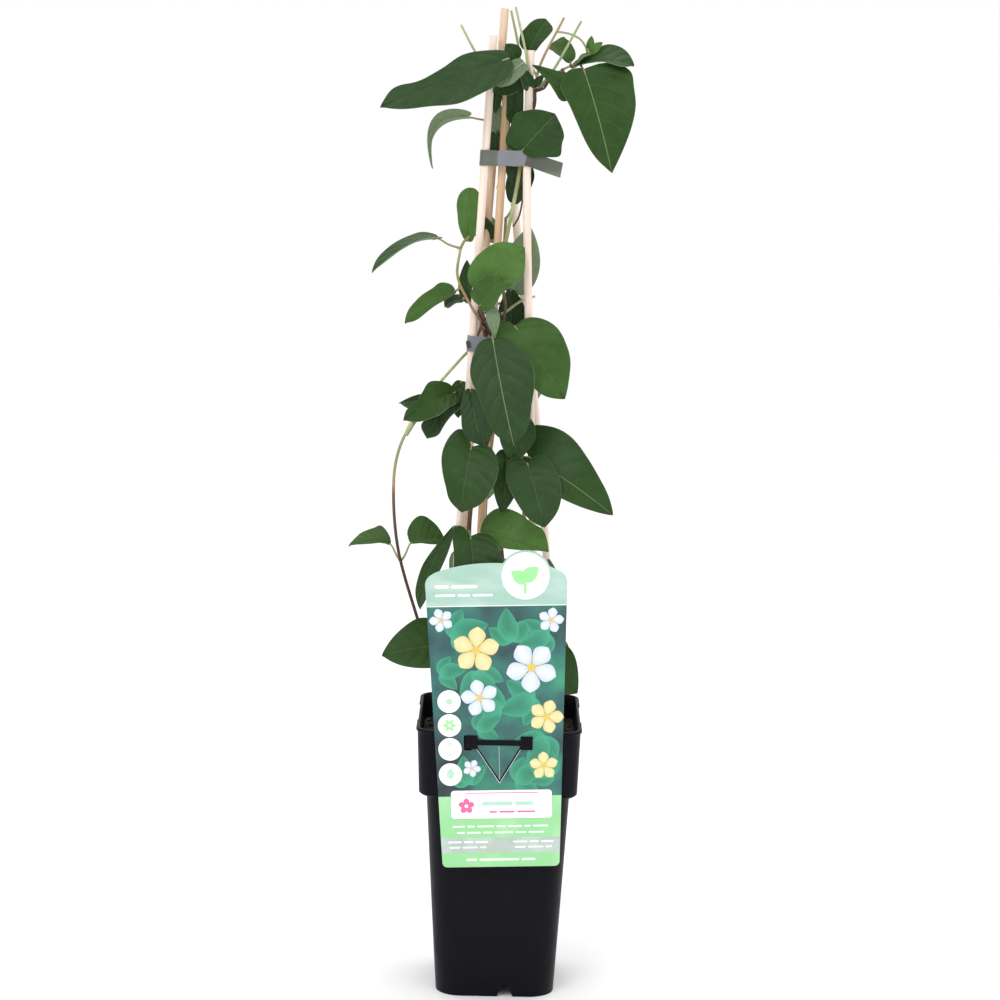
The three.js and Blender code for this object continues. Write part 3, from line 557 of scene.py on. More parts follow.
stems["stem_centre"] = [
    shoot([(-10, -14, 150), (-11, -15, 171), (-16, -22, 230), (-21, -25, 290), (-22, -27, 320),
        (-18, -29, 350), (-10, -29, 378), (-4, -24, 405), (-5, -13, 426), (-5, -13, 441), (-7, -17, 448),
        (-11, -23, 455), (-13, -26, 462), (-10, -22, 475), (-5, -16, 490), (-2, -13, 501), (1, -12, 517),
        (4, -9, 533), (6, -6, 545), (7, -4, 557), (10, -4, 575), (15, -5, 590), (15, -9, 600)], 1.7, 1.2, (1,
        1, 0.95, 0.9, 0.9, 0.85, 0.85, 0.8, 0.7, 0.55, 0.1, 0.45, 0.95)),
    shoot([(15, -7, 597), (13, -10, 602), (17, -12, 607)], 1.2, 0.8, (1, 1)),
    shoot([(7, -2, 547), (9, 1, 536), (7, 0, 519), (3, -8, 512)], 0.6, 0.6, (0.97, 0.9)),
    shoot([(-2.4, -12, 469), (-1.2, -13, 461), (-2, -14, 452), (-4, -14, 446)], 1, 0.9, (0.75, 0.9)),
    shoot([(-18, -19, 461), (-15, -19, 453), (-12, -18, 447), (-10, -17, 440)], 1.3, 1.1, (0.75, 0.95)),
    shoot([(-13, -18, 463), (-10, -18, 453), (-8, -17, 445)], 0.6, 0.5, (0.9, 0.6)),
    shoot([(-19, -15, 458), (-15, -16, 449), (-12, -17, 442)], 0.9, 0.9, (1, 1)),
    shoot([(-17, -20, 452), (-16, -20, 447), (-13, -19, 441)], 0.8, 0.9, (0.85, 1)),
    shoot([(-14, -17, 457), (-11, -17, 451), (-12, -17, 446), (-9, -17, 441)], 1.2, 1.2, (0.8, 0.95)),
    shoot([(-15, -20, 450), (-12, -21, 452), (-10, -21, 450), (-9, -20, 445)], 0.7, 0.8, (0.9, 0.75)),
    shoot([(-9, -19, 454), (-9, -20, 448), (-7, -19, 442)], 0.9, 0.7, (0.3, 0.85)),
    shoot([(15, -9, 599), (21, -11, 601), (24, -11, 606)], 1, 0.7, (1, 1)),
    shoot([(15, -7, 598), (26, -8, 608), (31, -9, 612), (38, -9, 615.6), (43, -10, 617)], 0.9, 0.7, (0.9,
        0.2)),
    shoot([(29, -9, 637), (36, -10, 636), (43, -11, 633), (47, -12, 628), (48, -11, 623), (44, -10, 617)],
        0.7, 0.6, (0.2, 0.25)),
    stub([(15, -7, 596), (10, -15, 617), (9, -13, 623), (2, 8, 652)]),
    stub([(15, -8, 598), (18, -8, 615), (33, -9, 646)], 0.6, 0.55),
    stub([(16, -8, 599), (27, -9, 613), (44, -12, 644)]),
    stub([(-4, -13, 455), (-1, -12, 456.5), (8, -7, 462.8), (18, -1, 466)]),
    leaf((10, -2, 624), (22, 4, 645), 18, (0.1, -1, 0.3), -0.1, (7, 9.5, 8.5, 7.5, 4), (4, 5, 6, 7, 5)),
    leaf((38, -4, 618), (24, 6, 629), 16, (0, -0.8, 0.6), 0.3, (2.5, 3, 3.5, 3, 2.5), (5.5, 8, 9, 9, 7),
        stalk=0.9),
    leaf((38, -10, 615), (78, -24, 617), 26, (0, -0.6, 0.8), -0.2, (5, 8, 14, 13.5, 7), (1.5, 1, 1, 4, 4),
        wave=0.01, stalk=0.9),
    leaf((46, -20, 614), (65, -38, 549), 47, (0.15, -1, 0.15), -0.15, (25, 27, 24, 16.5, 6),
        (17, 16.5, 14.5, 12, 5.5), arch=0.07, cup=0.1, wave=0.015, rib=0.5, widest=0.33, stalk=0.9),
    leaf((41, -26, 599), (13, -19, 616), 16, (0.15, -1, 0.15), -0.15, (9, 8, 5, 3, 1.2), (9, 8, 5, 3, 1.2),
        cup=0, wave=0, rib=0, stalk=0.9, via=[(36, -22, 606), (42, -20, 604)]),
    leaf((12, -11, 600), (6, -17, 614), 9, (0.3, -1, 0.1), -1, stalk=1),
    leaf((14, -12, 602), (21, -15, 610), 5, (0.3, -1, 0.4), -0.9, stalk=1),
    leaf((41, -12, 617), (51, -16, 624), 10, (0, -0.3, 1), 0.7),
    leaf((50, -12, 624), (58, -13, 631), 6, (0, -1, 0.6), 0.9),
    leaf((49, -12, 626), (51, -11, 635), 5, (0.3, -1, 0.2), 0.9),
    leaf((-21, -30, 472), (11, -24, 499), 30, (0.1, -1, 0.2), 0.85, (11, 15.5, 16, 14.5, 7.5),
        (9, 12, 13, 12.5, 5), cup=0.1, via=[(-18, -28, 464)]),
    leaf((-18, -34, 462), (-3, -43, 481), 20, (0.1, -1, 0.35), 0.4, (8, 10, 11, 9.5, 6), (6, 7.5, 7, 6, 4)),
    leaf((-10.5, -33, 462), (-7.5, -33, 441), 9, (0.2, -1, 0.1), 0.3, widest=0.3, turned=True),
    leaf((-9, -32, 441), (6, -50, 374), 42, (-0.15, -1, 0.2), -0.8, (12, 22, 22, 16.5, 9),
        (12, 18, 15.5, 13, 8), arch=0.08, cup=0.12, wave=0.015, rib=0.5),
    leaf((-23, -30, 408), (-15, -38, 372), 22, (-0.2, -1, 0.1), -1.2, (4, 6, 9, 10.5, 7),
        (4.5, 7.5, 8.5, 9, 5.5)),
    leaf((-21.5, -38, 371.5), (-27.5, -52, 330.5), 35, (-0.1, -1, 0.25), -0.5, (14, 20, 20, 16.5, 9),
        (14, 17.5, 15, 11, 6), lobe=(0.12, 0.34)),
    leaf((-21, -40, 313), (-17, -50, 276), 30, (0.1, -1, 0.3), -0.4, (13, 17, 19, 16, 9),
        (10.5, 12, 13, 14, 8), lobe=(0.1, 0.28)),
    leaf((-31.5, -25, 317), (-54, -24, 260), 15, (-0.5, -0.8, 0.1), -0.4, (3.5, 7.5, 8, 6, 3),
        (1.5, 3.5, 5.5, 5.5, 3.5), arch=0.14, wave=0.01),
]
stems["stem_top"] = [
    shoot([(-6, 8, 150), (-7, 9, 171), (-12, 14, 250), (-12, 10, 330), (-6, 4, 400), (-7, 4, 436),
        (-8, 4, 500), (-5, 3, 545), (-3, 2, 561), (0, 0, 590), (2, -4, 604), (0, -10, 613), (-3, -14, 618)],
        2, 1, (1, 0.8, 0.6, 0.7, 0.5)),
    stub([(3, -4, 604), (-20, -13, 619), (-24, -12, 624), (-33, -4, 640)]),
    stub([(3, -4, 604), (5, 2, 620), (-1, 4, 650)]),
    leaf((-2, -21, 620), (-83, -40, 588), 40, (-0.2, -0.9, 0.45), -0.7, (13, 18, 19, 12.5, 6),
        (8.5, 13, 8.5, 6.5, 7), arch=0.02, cup=0.05, wave=0.01, rib=0.05),
    leaf((8, -22, 617), (-15, -29, 606), 17, (0.1, 0.8, -0.6), -0.9, (6, 8, 9, 8, 5), (5, 7, 8, 7.5, 5),
        rib=0.1),
    # a dark leaf under leaf A: its low tone is painted shade, for the shadow of the leaves above it
    leaf((4, -10, 607), (-12, -12, 598), 17, (0, -1, 0.3), -0.8),
    leaf((3, -8, 619), (-4, -9, 629), 12, (0, -1, 0.4), -0.2),
    leaf((2.5, -7, 610), (2.5, -6, 576), 11, (0.1, -1, 0.1), -0.5, (5, 5.5, 5.5, 5.5, 4),
        (5, 5.5, 5.5, 5.5, 4), arch=0.03, cup=0, wave=0, rib=0),
    leaf((7.5, -13, 561), (28.5, -20, 585), 38, (0.1, -1, 0.25), -0.5, (11.5, 15.5, 18.5, 14.5, 7),
        (8, 15, 20.5, 16, 9.5), cup=0.08, wave=0.01, rib=0.2, lobe=(0.28, 0.04)),
    leaf((-9.5, -4, 606), (-10, -3, 584), 9, (0.1, -1, 0.1), -1.3, arch=0.03, cup=0, wave=0),
    leaf((-9.5, -2, 575), (-9.5, -2, 555), 11, (0.1, -1, 0.1), -1, arch=0.03, cup=0, wave=0),
    leaf((-9, 0, 565), (-8, 0, 591), 16, (0.1, -1, 0.1), 0.8, cup=0.1, wave=0, turned=True),
    leaf((2, 1, 561), (5, -1, 534), 12, (-0.1, -1, 0.1), -1.2, cup=0.2, wave=0),
    leaf((-28, -12, 582.5), (-50, -26, 549), 18, (-0.75, 0.4, 0.55), 0.3, arch=0.33, wave=0, rib=0.1,
        widest=0.4, lead=-0.22, lobe=(0.16, 0.16), stalk=0.5,
        via=[(-5, -1, 586), (-14, 0, 580), (-21, -5, 580.5)]),
    leaf((-10, 20, 345), (-16, 52, 318), 34, (-0.1, 0.5, 0.85), -0.2),
    leaf((-10, 30, 292), (-30, 56, 258), 34, (-0.3, 0.7, 0.6), -0.4),
]
stems["stem_right"] = [
    shoot([(14, -6, 150), (14, -7, 171), (10, -12, 220), (4, -18, 270), (-1, -24, 308), (4, -26, 345),
        (9, -28, 371), (7, -25, 398), (4, -13, 426), (4, -12, 441), (3, -17, 448)], 1.6, 1.1, (1, 0.95, 0.9,
        0.85, 0.8, 0.85)),
    leaf((5, -25, 449), (38, -36, 403), 34, (0.15, -1, 0.2), 0.25, (15, 21, 20, 16, 6.5),
        (14, 14, 13.5, 13.5, 7.5), cup=0.08, lobe=(0.05, 0.22)),
    leaf((15, -36, 361), (26.5, -52, 321.5), 32, (0.1, -1, 0.25), -0.6, (13, 16.5, 16.5, 14, 7),
        (13, 16.5, 15, 12, 6), lobe=(0.16, 0.2)),
    leaf((16, -29, 364), (71, -44, 329), 44, (0.2, -1, 0.3), -0.4, (21, 25, 20, 13.5, 6),
        (13, 13.5, 12.5, 9.5, 4), wave=0.015, rib=0.4, lobe=(0.32, 0.1)),
    leaf((1, -30, 368), (-1, -34, 327), 20, (0.3, -1, 0.1), -0.6),
    leaf((8, -31, 392), (6, -33, 360), 24, (0.2, -1, 0.1), -0.6),
    leaf((-15, -27, 313), (30, -42, 304), 26, (0, -0.85, 0.5), 0.75, (14.5, 18, 16.5, 13, 8.5),
        (4.5, 8, 8.5, 6, 2), arch=0.14, wave=0.01),
    leaf((22, -33, 235), (50.5, -40, 209), 34, (0.3, -1, 0.3), -0.2, via=[(12, -25, 237), (18, -32, 237)]),
    leaf((-4, -29, 300), (-8, -31, 286), 10, (0, -1, 0.3), -0.3),
]
stems["stem_back"] = [
    shoot([(6, 20, 150), (6, 22, 171), (12, 28, 250), (14, 30, 320), (6, 22, 390), (-1, 8, 424), (-1, 8, 441),
        (-3, 13, 480), (-2, 18, 515)], 1.7, 1, (1, 0.7, 0.5, 0.3)),
    leaf((3, 8, 526), (10, 10, 556), 22, (0.1, -1, 0.1), -0.8, (5, 8, 8.5, 7, 4), (4, 7, 8.5, 8, 4),
        rib=0.05),
    leaf((4, 1, 468), (14, -3, 512), 25, (0.12, -1, 0), 1, arch=0.05, rib=0.1, turned=True),
    leaf((-8, 18, 500), (-16, 17, 520), 12, (-0.4, 1, 0.2), 0.2),
    leaf((3, 3, 441), (2, 1, 472), 19, (0.1, -1, 0.1), -1.4, cup=0.3),
    leaf((-24, 16, 459), (-27, 12, 488), 13, (-0.3, -1, 0.2), -0.4),
    leaf((-12, 6, 502), (-22, 5, 520), 14, (-0.2, -1, 0.1), -0.5),
    leaf((-6, 26, 398), (-18, 54, 370), 30, (-0.2, 0.8, 0.6), -0.1),
    leaf((8, 26, 408), (12, 52, 380), 30, (0.1, 0.7, 0.7), 0.1),
    leaf((12, 40, 284), (24, 62, 254), 36, (0.2, 0.8, 0.5), -0.3),
    leaf((2, 36, 258), (-26, 58, 228), 38, (-0.3, 0.8, 0.5), -0.5),
    leaf((20, 36, 232), (40, 54, 200), 36, (0.4, 0.8, 0.4), -0.4),
    leaf((31, 22, 286), (44, 12, 253), 18, (0.95, 0.15, 0.3), -1.2, arch=0.02, wave=0, via=[(18, 32, 290)]),
]


def plainHalfWidth(u, item):
    widest = item["widest"]
    tipPower = blade["basePower"] * (1 - widest) / widest
    shape = (u / widest) ** blade["basePower"] * ((1 - u) / (1 - widest)) ** tipPower
    return item["width"] / 2 * shape


def throughAll(values, spot):
    # a smooth curve through values that stand at 0, 1, 2 and so on
    i = min(int(spot), len(values) - 2)
    before, start, end, after = (values[min(max(i + k, 0), len(values) - 1)] for k in (-1, 0, 1, 2))
    t = spot - i
    bend = 2 * before - 5 * start + 4 * end - after + t * (3 * (start - end) + after - before)
    return start + 0.5 * t * (end - before + t * bend)


def halfWidthAt(u, item, side):
    plain = plainHalfWidth(u, item)
    own = item["left"] if side < 0 else item["right"]
    if not own:
        return plain
    first, step = blade["marks"]
    factors = [width / plainHalfWidth(first + step * i, item) for i, width in enumerate(own)]
    return plain * throughAll(factors, min(max((u - first) / step, 0), len(own) - 1))


def bladeFrame(item):
    # a function that gives the middle of the blade and its directions there
    start, end = item["base"], item["tip"]
    chord = end - start
    along = chord.normalized()
    up = (item["face"] - along * item["face"].dot(along)).normalized()
    control = (start + end) / 2 + up * (2 * item["arch"] * chord.length) + chord * item["lead"]

    def at(u):
        centre = start * (1 - u) ** 2 + control * (2 * u * (1 - u)) + end * u ** 2
        tangent = ((control - start) * (1 - u) + (end - control) * u).normalized()
        normal = (up - tangent * up.dot(tangent)).normalized()
        return centre, tangent, normal, tangent.cross(normal)

    return at


def bladeLift(u, v, half, item):
    # how far the blade rises from its flat middle: cup, waves, quilting and the midrib's groove
    side = abs(v)
    depth, reach = blade["groove"]
    along, across = blade["waves"]
    wave = item["wave"] * item["width"] * side * math.sin(along * u + across * v)
    quilt = blade["quilt"] * item["width"] * math.cos(2 * math.pi * veinPhase(u, side))
    lift = item["cup"] * half * v * v + wave - quilt * (1 - side ** 2) * 4 * side
    return lift - depth * math.exp(-((half * v / reach) ** 2))


def addBlade(bm, item):
    at = bladeFrame(item)
    length = (item["tip"] - item["base"]).length
    fullest = [max(item[side] or [item["width"] / 2]) for side in ("left", "right")]
    columns, rows = (count if length >= blade["smallUnder"] else count // 2 for count in blade["facets"])
    grid = bmesh.ops.create_grid(bm, x_segments=columns, y_segments=rows, size=1)["verts"]
    for vertex in grid:
        share = (vertex.co.x + 1) / 2
        u = lerp(*blade["ends"], lerp(share, (1 - math.cos(math.pi * share)) / 2, blade["gathered"]))
        v = -vertex.co.y
        centre, tangent, normal, across = at(u)
        half = halfWidthAt(u, item, v)
        bulge = math.sin(blade["bulge"] * min(1, abs(half * v) / fullest[v > 0]))
        back = item["lobe"][v > 0] * length * bulge * (1 - u) ** 3
        lift = bladeLift(u, v, half, item)
        vertex.co = (centre + across * (half * v) + normal * lift - tangent * back) * mm
        kept = {"along": u, "across": v, "reach": half * v, "tone": item["tone"], "rib": item["rib"]}
        for name, value in kept.items():
            vertex[bm.verts.layers.float[name]] = value
    upper = list({face for vertex in grid for face in vertex.link_faces})
    bm.normal_update()
    lower = bmesh.ops.solidify(bm, geom=upper, thickness=blade["thick"] * mm)["geom"]
    for face in upper:
        face.material_index = 0 if item["turned"] else 1
    for face in lower:
        if isinstance(face, bmesh.types.BMFace):
            face.material_index = 1 if item["turned"] else 0


def petioleLine(item, woodPoints):
    base = item["base"]
    via = [Vector(point) for point in item["via"]]
    first = via[0] if via else base
    root = min(woodPoints, key=lambda point: (point - first).length)
    if not via:
        sag = root.lerp(base, woody["sagAt"])
        sag.z -= woody["sag"] * (root - base).length
        via = [sag]
    inner, _, normal, _ = bladeFrame(item)(woody["into"])
    before, last = woody["under"]
    return smoothLine([root, *via, base - normal * before, inner - normal * last], 2)


def ribLine(item):
    # the midrib, just under the blade
    frames = map(bladeFrame(item), (0.03 + 0.9 * i / 12 for i in range(13)))
    return [centre - normal * blade["ribBelow"] for centre, _, normal, _ in frames]


def ageAlong(ages):
    def at(share, centre):
        spot = share * (len(ages) - 1)
        i = min(int(spot), len(ages) - 2)
        return lerp(ages[i], ages[i + 1], spot - i)
    return at


def tapered(radii, flare=0, fall=0):
    # a radius that goes from one to the other, with a flare that falls off along the way
    start, end = (radius * mm for radius in radii)
    return lambda share, centre: lerp(start, end, share) * (1 + flare * math.exp(-share * fall))


def makeStem(name, parts):
    wood, leaves = bmesh.new(), bmesh.new()
    wood.verts.layers.float.new("age")
    for layer in ("age", "along", "across", "reach", "tone", "rib"):
        leaves.verts.layers.float.new(layer)
    woodPoints = [point for item in parts if item["kind"] == "shoot"
                  for point in smoothLine(item["points"], 2) if point.z > woody["lowest"]]
    for item in parts:
        if item["kind"] == "leaf":
            addTube(wood, petioleLine(item, woodPoints), tapered(woody["petiole"], *woody["flare"]),
                    woody["petioleSides"], ageAlong((item["stalk"], item["stalk"] * woody["tipAge"])))
            addBlade(leaves, item)
            rib = blade["rib"] * mm
            addTube(leaves, ribLine(item), lambda share, centre: rib * (1 - blade["ribTaper"] * share),
                    blade["ribSides"], ageAlong([blade["ribAge"]] * 2), 2)
        else:
            addTube(wood, smoothLine(item["points"], woody["spacing"]), tapered(item["radii"]),
                    woody["sides"], ageAlong(item["ages"]), 1 if item["kind"] == "stub" else 0)
    finishPiece(wood, name + "_wood", [finishes["bark"], finishes["cut"]], [name])
    finishPiece(leaves, name + "_leaves", [finishes["leafUnder"], finishes["leafTop"], finishes["bark"]],
                [name])


for stemName, stemParts in stems.items():
    makeStem(stemName, stemParts)
print("leafy stems ready")


# A tall square nursery pot. Its rings run from the pad underneath, up the outside and down the inside:
# half the width, corner radius, height, and how far the edge is eased.
pot = {
    "pad": (12, 9),  # radius and height
    "rings": [
        (38.6, 15.5, 9, 0), (38.1, 15.5, 0, 0.3), (39.6, 17, 0, 0.5), (47.45, 17, 138.5, 0),
        (50.7, 11, 140, 0.5), (52.2, 11, 141.5, 0.5), (53.6, 11, 183.2, 0.2), (54.5, 11, 184.1, 0.3),
        (54.5, 11, 185.3, 0.3), (53.8, 11, 186, 0.3), (52.1, 9.5, 186, 0.3), (50.7, 9.5, 143, 0.5),
        (46.1, 15.5, 140, 0.5), (38.7, 15.5, 10.5, 0.8),
    ],
    "cornerFacets": 10,
    "wallCuts": 5,
    # the lip is left off on the left and right sides: from x, to x, half the depth, from z, to z
    "lipGap": (53.7, 56, 24, 182.9, 190),
    "notch": {"x": 7, "bottom": 11.4, "top": 4.4, "height": 8, "from": -42, "to": -34.5},
    "drain": {"radius": 3.5, "depth": 8, "at": 24, "z": 10.5},
    "bow": 0.35,  # how far the walls bulge
    "walls": (8, 140),
    "outside": 37,
    "flatHalf": 34,
}

bridge = {
    "z": 179.5,
    "back": -57.25,
    "thick": 1.2,
    "bars": [(-21, 21, 3.6, 0.1), (-22, -14, 9, 0), (14, 22, 9, 0)],  # from x, to x, height, how far set back
    "lugs": [(-21.7, -18.8, 6), (18.8, 21.7, 6)],
    "wall": -51.5,
    "ease": 0.45,
    "lugEase": 0.2,
}


def squareRing(bm, half, corner, level):
    # a rounded square of edges
    before = set(bm.edges)
    turn = Matrix.Translation((0, 0, level)) @ Matrix.Rotation(math.pi / 4, 4, "Z")
    square = bmesh.ops.create_circle(bm, segments=4, radius=half * math.sqrt(2) * mm, matrix=turn)
    bevel(bm, square["verts"], corner, pot["cornerFacets"], "VERTICES")
    sides = [edge for edge in bm.edges if edge not in before and edge.calc_length() > half * mm]
    bmesh.ops.subdivide_edges(bm, edges=sides, cuts=pot["wallCuts"])
    return [edge for edge in bm.edges if edge not in before]


def addBlock(bm, low, high, ease=0):
    # a box between two corners, its edges eased
    size = [(b - a) * mm for a, b in zip(low, high)]
    middle = [(a + b) / 2 * mm for a, b in zip(low, high)]
    place = Matrix.Translation(middle) @ Matrix.Diagonal(size + [1])
    verts = bmesh.ops.create_cube(bm, size=1, matrix=place)["verts"]
    if ease:
        bevel(bm, list({edge for vertex in verts for edge in vertex.link_edges}), ease)
    return verts


def potCutters():
    bm = bmesh.new()
    near, far, half, low, high = pot["lipGap"]
    for x0, x1 in ((-far, -near), (near, far)):
        addBlock(bm, (x0, -half, low), (x1, half, high))
    notch, drain = pot["notch"], pot["drain"]
    x = notch["x"]
    for quarter in range(4):
        new = addBlock(bm, (x - 0.5, notch["from"], -1), (x + 0.5, notch["to"], notch["height"]))
        for vertex in new:
            wide = notch["bottom"] if vertex.co.z < 0 else notch["top"]
            vertex.co.x = x * mm + math.copysign(wide / 2 * mm, vertex.co.x - x * mm)
        hole = Matrix.Translation([drain[key] * mm for key in ("at", "at", "z")])
        radius = drain["radius"] * mm
        new += bmesh.ops.create_cone(bm, cap_ends=True, segments=24, radius1=radius, radius2=radius,
                                     depth=drain["depth"] * mm, matrix=hole)["verts"]
        bmesh.ops.rotate(bm, verts=new, matrix=Matrix.Rotation(quarter * math.pi / 2, 3, "Z"))
    return bm


def asMesh(thing):
    # the finished shape of an object, which then goes
    mesh = bpy.data.meshes.new_from_object(thing.evaluated_get(bpy.context.evaluated_depsgraph_get()))
    bpy.data.objects.remove(thing)
    bm = bmesh.new()
    bm.from_mesh(mesh)
    bpy.data.meshes.remove(mesh)
    return bm


def carved(bm, cutters):
    # takes the shapes of one mesh out of another
    whole = addObject("whole", intoMesh(bm, "whole"))
    cutter = addObject("cutter", intoMesh(cutters, "cutter"))
    modifier = whole.modifiers.new("cut", "BOOLEAN")
    modifier.object = cutter
    modifier.solver = "EXACT"
    left = asMesh(whole)
    asMesh(cutter).free()
    return left


def bulgeWalls(bm):
    # the long walls get more rows, and bulge a little
    tall = [edge for edge in bm.edges if abs(edge.verts[0].co.z - edge.verts[1].co.z) > 30 * mm]
    bmesh.ops.subdivide_edges(bm, edges=tall, cuts=pot["wallCuts"], use_grid_fill=True)
    low, high = pot["walls"]
    for vertex in bm.verts:
        x, y, z = vertex.co / mm
        if max(abs(x), abs(y)) > pot["outside"] and z < high:
            swell = pot["bow"] * max(0, math.sin(math.pi * (z - low) / (high - low)))
            level = max(0, 1 - (min(abs(x), abs(y)) / pot["flatHalf"]) ** 2)
            out = Vector((math.copysign(1, x), 0, 0) if abs(x) > abs(y) else (0, math.copysign(1, y), 0))
            vertex.co += out * (swell * level * mm)


def makePot():
    bm = bmesh.new()
    radius, top = pot["pad"]
    heights = [0, top] + [ring[2] for ring in pot["rings"]]
    loops = []
    # each ring waits on a level of its own until all are joined
    for level in (0, 1):
        before = set(bm.edges)
        bmesh.ops.create_circle(bm, segments=64, radius=radius * mm, matrix=Matrix.Translation((0, 0, level)))
        loops.append([edge for edge in bm.edges if edge not in before])
    for half, corner, z, ease in pot["rings"]:
        loops.append(squareRing(bm, half, corner, len(loops)))
    for lower, upper in zip(loops, loops[1:]):
        bmesh.ops.bridge_loops(bm, edges=lower + upper)
    for vertex in bm.verts:
        vertex.co.z = heights[round(vertex.co.z)] * mm
    bmesh.ops.holes_fill(bm, edges=loops[0] + loops[-1], sides=0)
    bmesh.ops.recalc_face_normals(bm, faces=bm.faces)
    bulgeWalls(bm)
    for ease in sorted({ring[3] for ring in pot["rings"]} - {0}):
        edges = [edge for loop, ring in zip(loops[2:], pot["rings"]) if ring[3] == ease
                 for edge in loop if edge.is_valid]
        bevel(bm, edges, ease)
    bm = carved(bm, potCutters())
    z, back = bridge["z"], bridge["back"]
    for x0, x1, tall, inset in bridge["bars"]:
        front = back - bridge["thick"] + inset
        addBlock(bm, (x0, front, z - tall / 2), (x1, back - inset, z + tall / 2), bridge["ease"])
    for x0, x1, tall in bridge["lugs"]:
        addBlock(bm, (x0, back - 0.5, z - tall / 2), (x1, bridge["wall"], z + tall / 2), bridge["lugEase"])
    finishPiece(bm, "pot_shell", [finishes["pot"]], ["pot"], sharp=38)


makePot()


# Damp compost with crumbs and bark on top
soil = {
    "top": 171,
    "slump": 1.2,
    "half": 51.0,
    "corner": 8.8,
    "cells": 110,
    "skirt": [(49.95, 9.0, 146), (45.5, 15.1, 139.5), (38.0, 15.1, 11)],  # half width, corner, height
    "rough": 0.9,
    "crumbs": 420,
    "chips": 60,
    "inside": 0.95,  # how far out crumbs and chips lie
    "ragged": 0.2,
    "seed": 5,
}


def soilHeight(x, y):
    ripple = math.sin(x * 0.21 + 1) * math.cos(y * 0.17) + 0.6 * math.sin(x * 0.47 - y * 0.39 + 2)
    return soil["top"] + soil["slump"] * (ripple - 0.9)


def intoRoundedSquare(x, y, half, corner):
    # takes a place in the square from -1 to 1 to one in a rounded square
    x, y = x * half, y * half
    inner = half - corner
    dx, dy = abs(x) - inner, abs(y) - inner
    if dx > 0 and dy > 0:
        pull = max(dx, dy) / math.hypot(dx, dy)
        x, y = math.copysign(inner + dx * pull, x), math.copysign(inner + dy * pull, y)
    return x, y


def scatterCrumbs(bm):
    chance = random.Random(soil["seed"])
    for i in range(soil["crumbs"] + soil["chips"]):
        x, y = (chance.uniform(-soil["inside"], soil["inside"]) for side in "xy")
        x, y = intoRoundedSquare(x, y, soil["half"], soil["corner"])
        chip = i >= soil["crumbs"]
        size = chance.uniform(0.6, 2.0)
        if chip:
            shape = (chance.uniform(2, 5), chance.uniform(0.8, 1.6), 0.7, 1)
        else:
            shape = (1, chance.uniform(0.6, 1), chance.uniform(0.5, 0.9), 1)
        spin, tip = chance.uniform(0, 6.3), chance.uniform(-0.4, 0.4)
        turn = Matrix.Rotation(spin, 4, "Z") @ Matrix.Rotation(tip, 4, "Y") @ Matrix.Diagonal(shape)
        place = Matrix.Translation(Vector((x, y, soilHeight(x, y) + 0.3)) * mm) @ turn
        new = bmesh.ops.create_icosphere(bm, subdivisions=1, radius=size * mm, matrix=place)["verts"]
        ragged = soil["ragged"]
        for vertex in new:
            vertex.co += Vector([chance.uniform(-ragged, ragged) * size * mm for axis in range(3)])
            for face in vertex.link_faces:
                face.material_index = int(chip)


def makeSoil():
    bm = bmesh.new()
    cells = soil["cells"]
    ground = bmesh.ops.create_grid(bm, x_segments=cells, y_segments=cells, size=1)["verts"]
    edges = [edge for edge in bm.edges if edge.is_boundary]
    skirt = []
    for half, corner, z in soil["skirt"]:
        below = bmesh.ops.extrude_edge_only(bm, edges=edges)["geom"]
        edges = [item for item in below if isinstance(item, bmesh.types.BMEdge) and item.is_boundary]
        skirt += [(vertex, half, corner, z) for vertex in {v for edge in edges for v in edge.verts}]
    bmesh.ops.holes_fill(bm, edges=edges, sides=0)
    for vertex, half, corner, z in skirt:
        x, y = intoRoundedSquare(vertex.co.x, vertex.co.y, half, corner)
        vertex.co = (x * mm, y * mm, z * mm)
    for vertex in ground:
        x, y = intoRoundedSquare(vertex.co.x, vertex.co.y, soil["half"], soil["corner"])
        bumps = noise.noise((x * 0.5, y * 0.5, 0)) + 0.6 * noise.noise((x * 1.3, y * 1.3, 4))
        vertex.co = Vector((x, y, soilHeight(x, y) + soil["rough"] * bumps)) * mm
    scatterCrumbs(bm)
    bmesh.ops.recalc_face_normals(bm, faces=bm.faces)
    finishPiece(bm, "soil_fill", [finishes["compost"], finishes["chip"]], ["soil"], sharp=35)


makeSoil()


# Canes from their tops down into the soil, with the bamboo one's nodes
canes = {
    "radius": 2.6,
    "sides": 24,
    "spacing": {"cane_bamboo": 1.5},
    "usualSpacing": 12,
    "chamfer": 0.4,
    "lines": {
        "cane_front_left": [(-12, -7, 634), (-36, -25, 171), (-39, -27.3, 112)],
        "cane_back_left": [(-5, -1, 651), (-35.2, 23.4, 171), (-38.9, 26.4, 112)],
        "cane_bamboo": [(-3, -3, 598), (-14, -8, 325), (-20.2, -10.8, 171), (-22, -11.6, 125)],
        "cane_front_right": [(12, -10, 625), (11, -9, 553), (14, -15.6, 455), (18, -22, 358), (24, -28, 171),
                             (26.3, -30, 112)],
        "cane_back_right": [(-1, 9, 567), (5, 11, 512), (20, 18, 389), (30, 23.5, 286), (38, 27, 171),
                            (40, 28, 120)],
    },
    "finish": {"cane_back_left": "tan", "cane_bamboo": "bamboo"},
    "slot": {"cane_bamboo": "bamboo"},
    "nodes": {"cane_bamboo": [537, 405, 262]},
    "ridge": (0.8, 0.9),  # height and half length of a node
    "waist": (0.16, 2.2, 3.2),  # depth, half length, and how far it is above the node
}


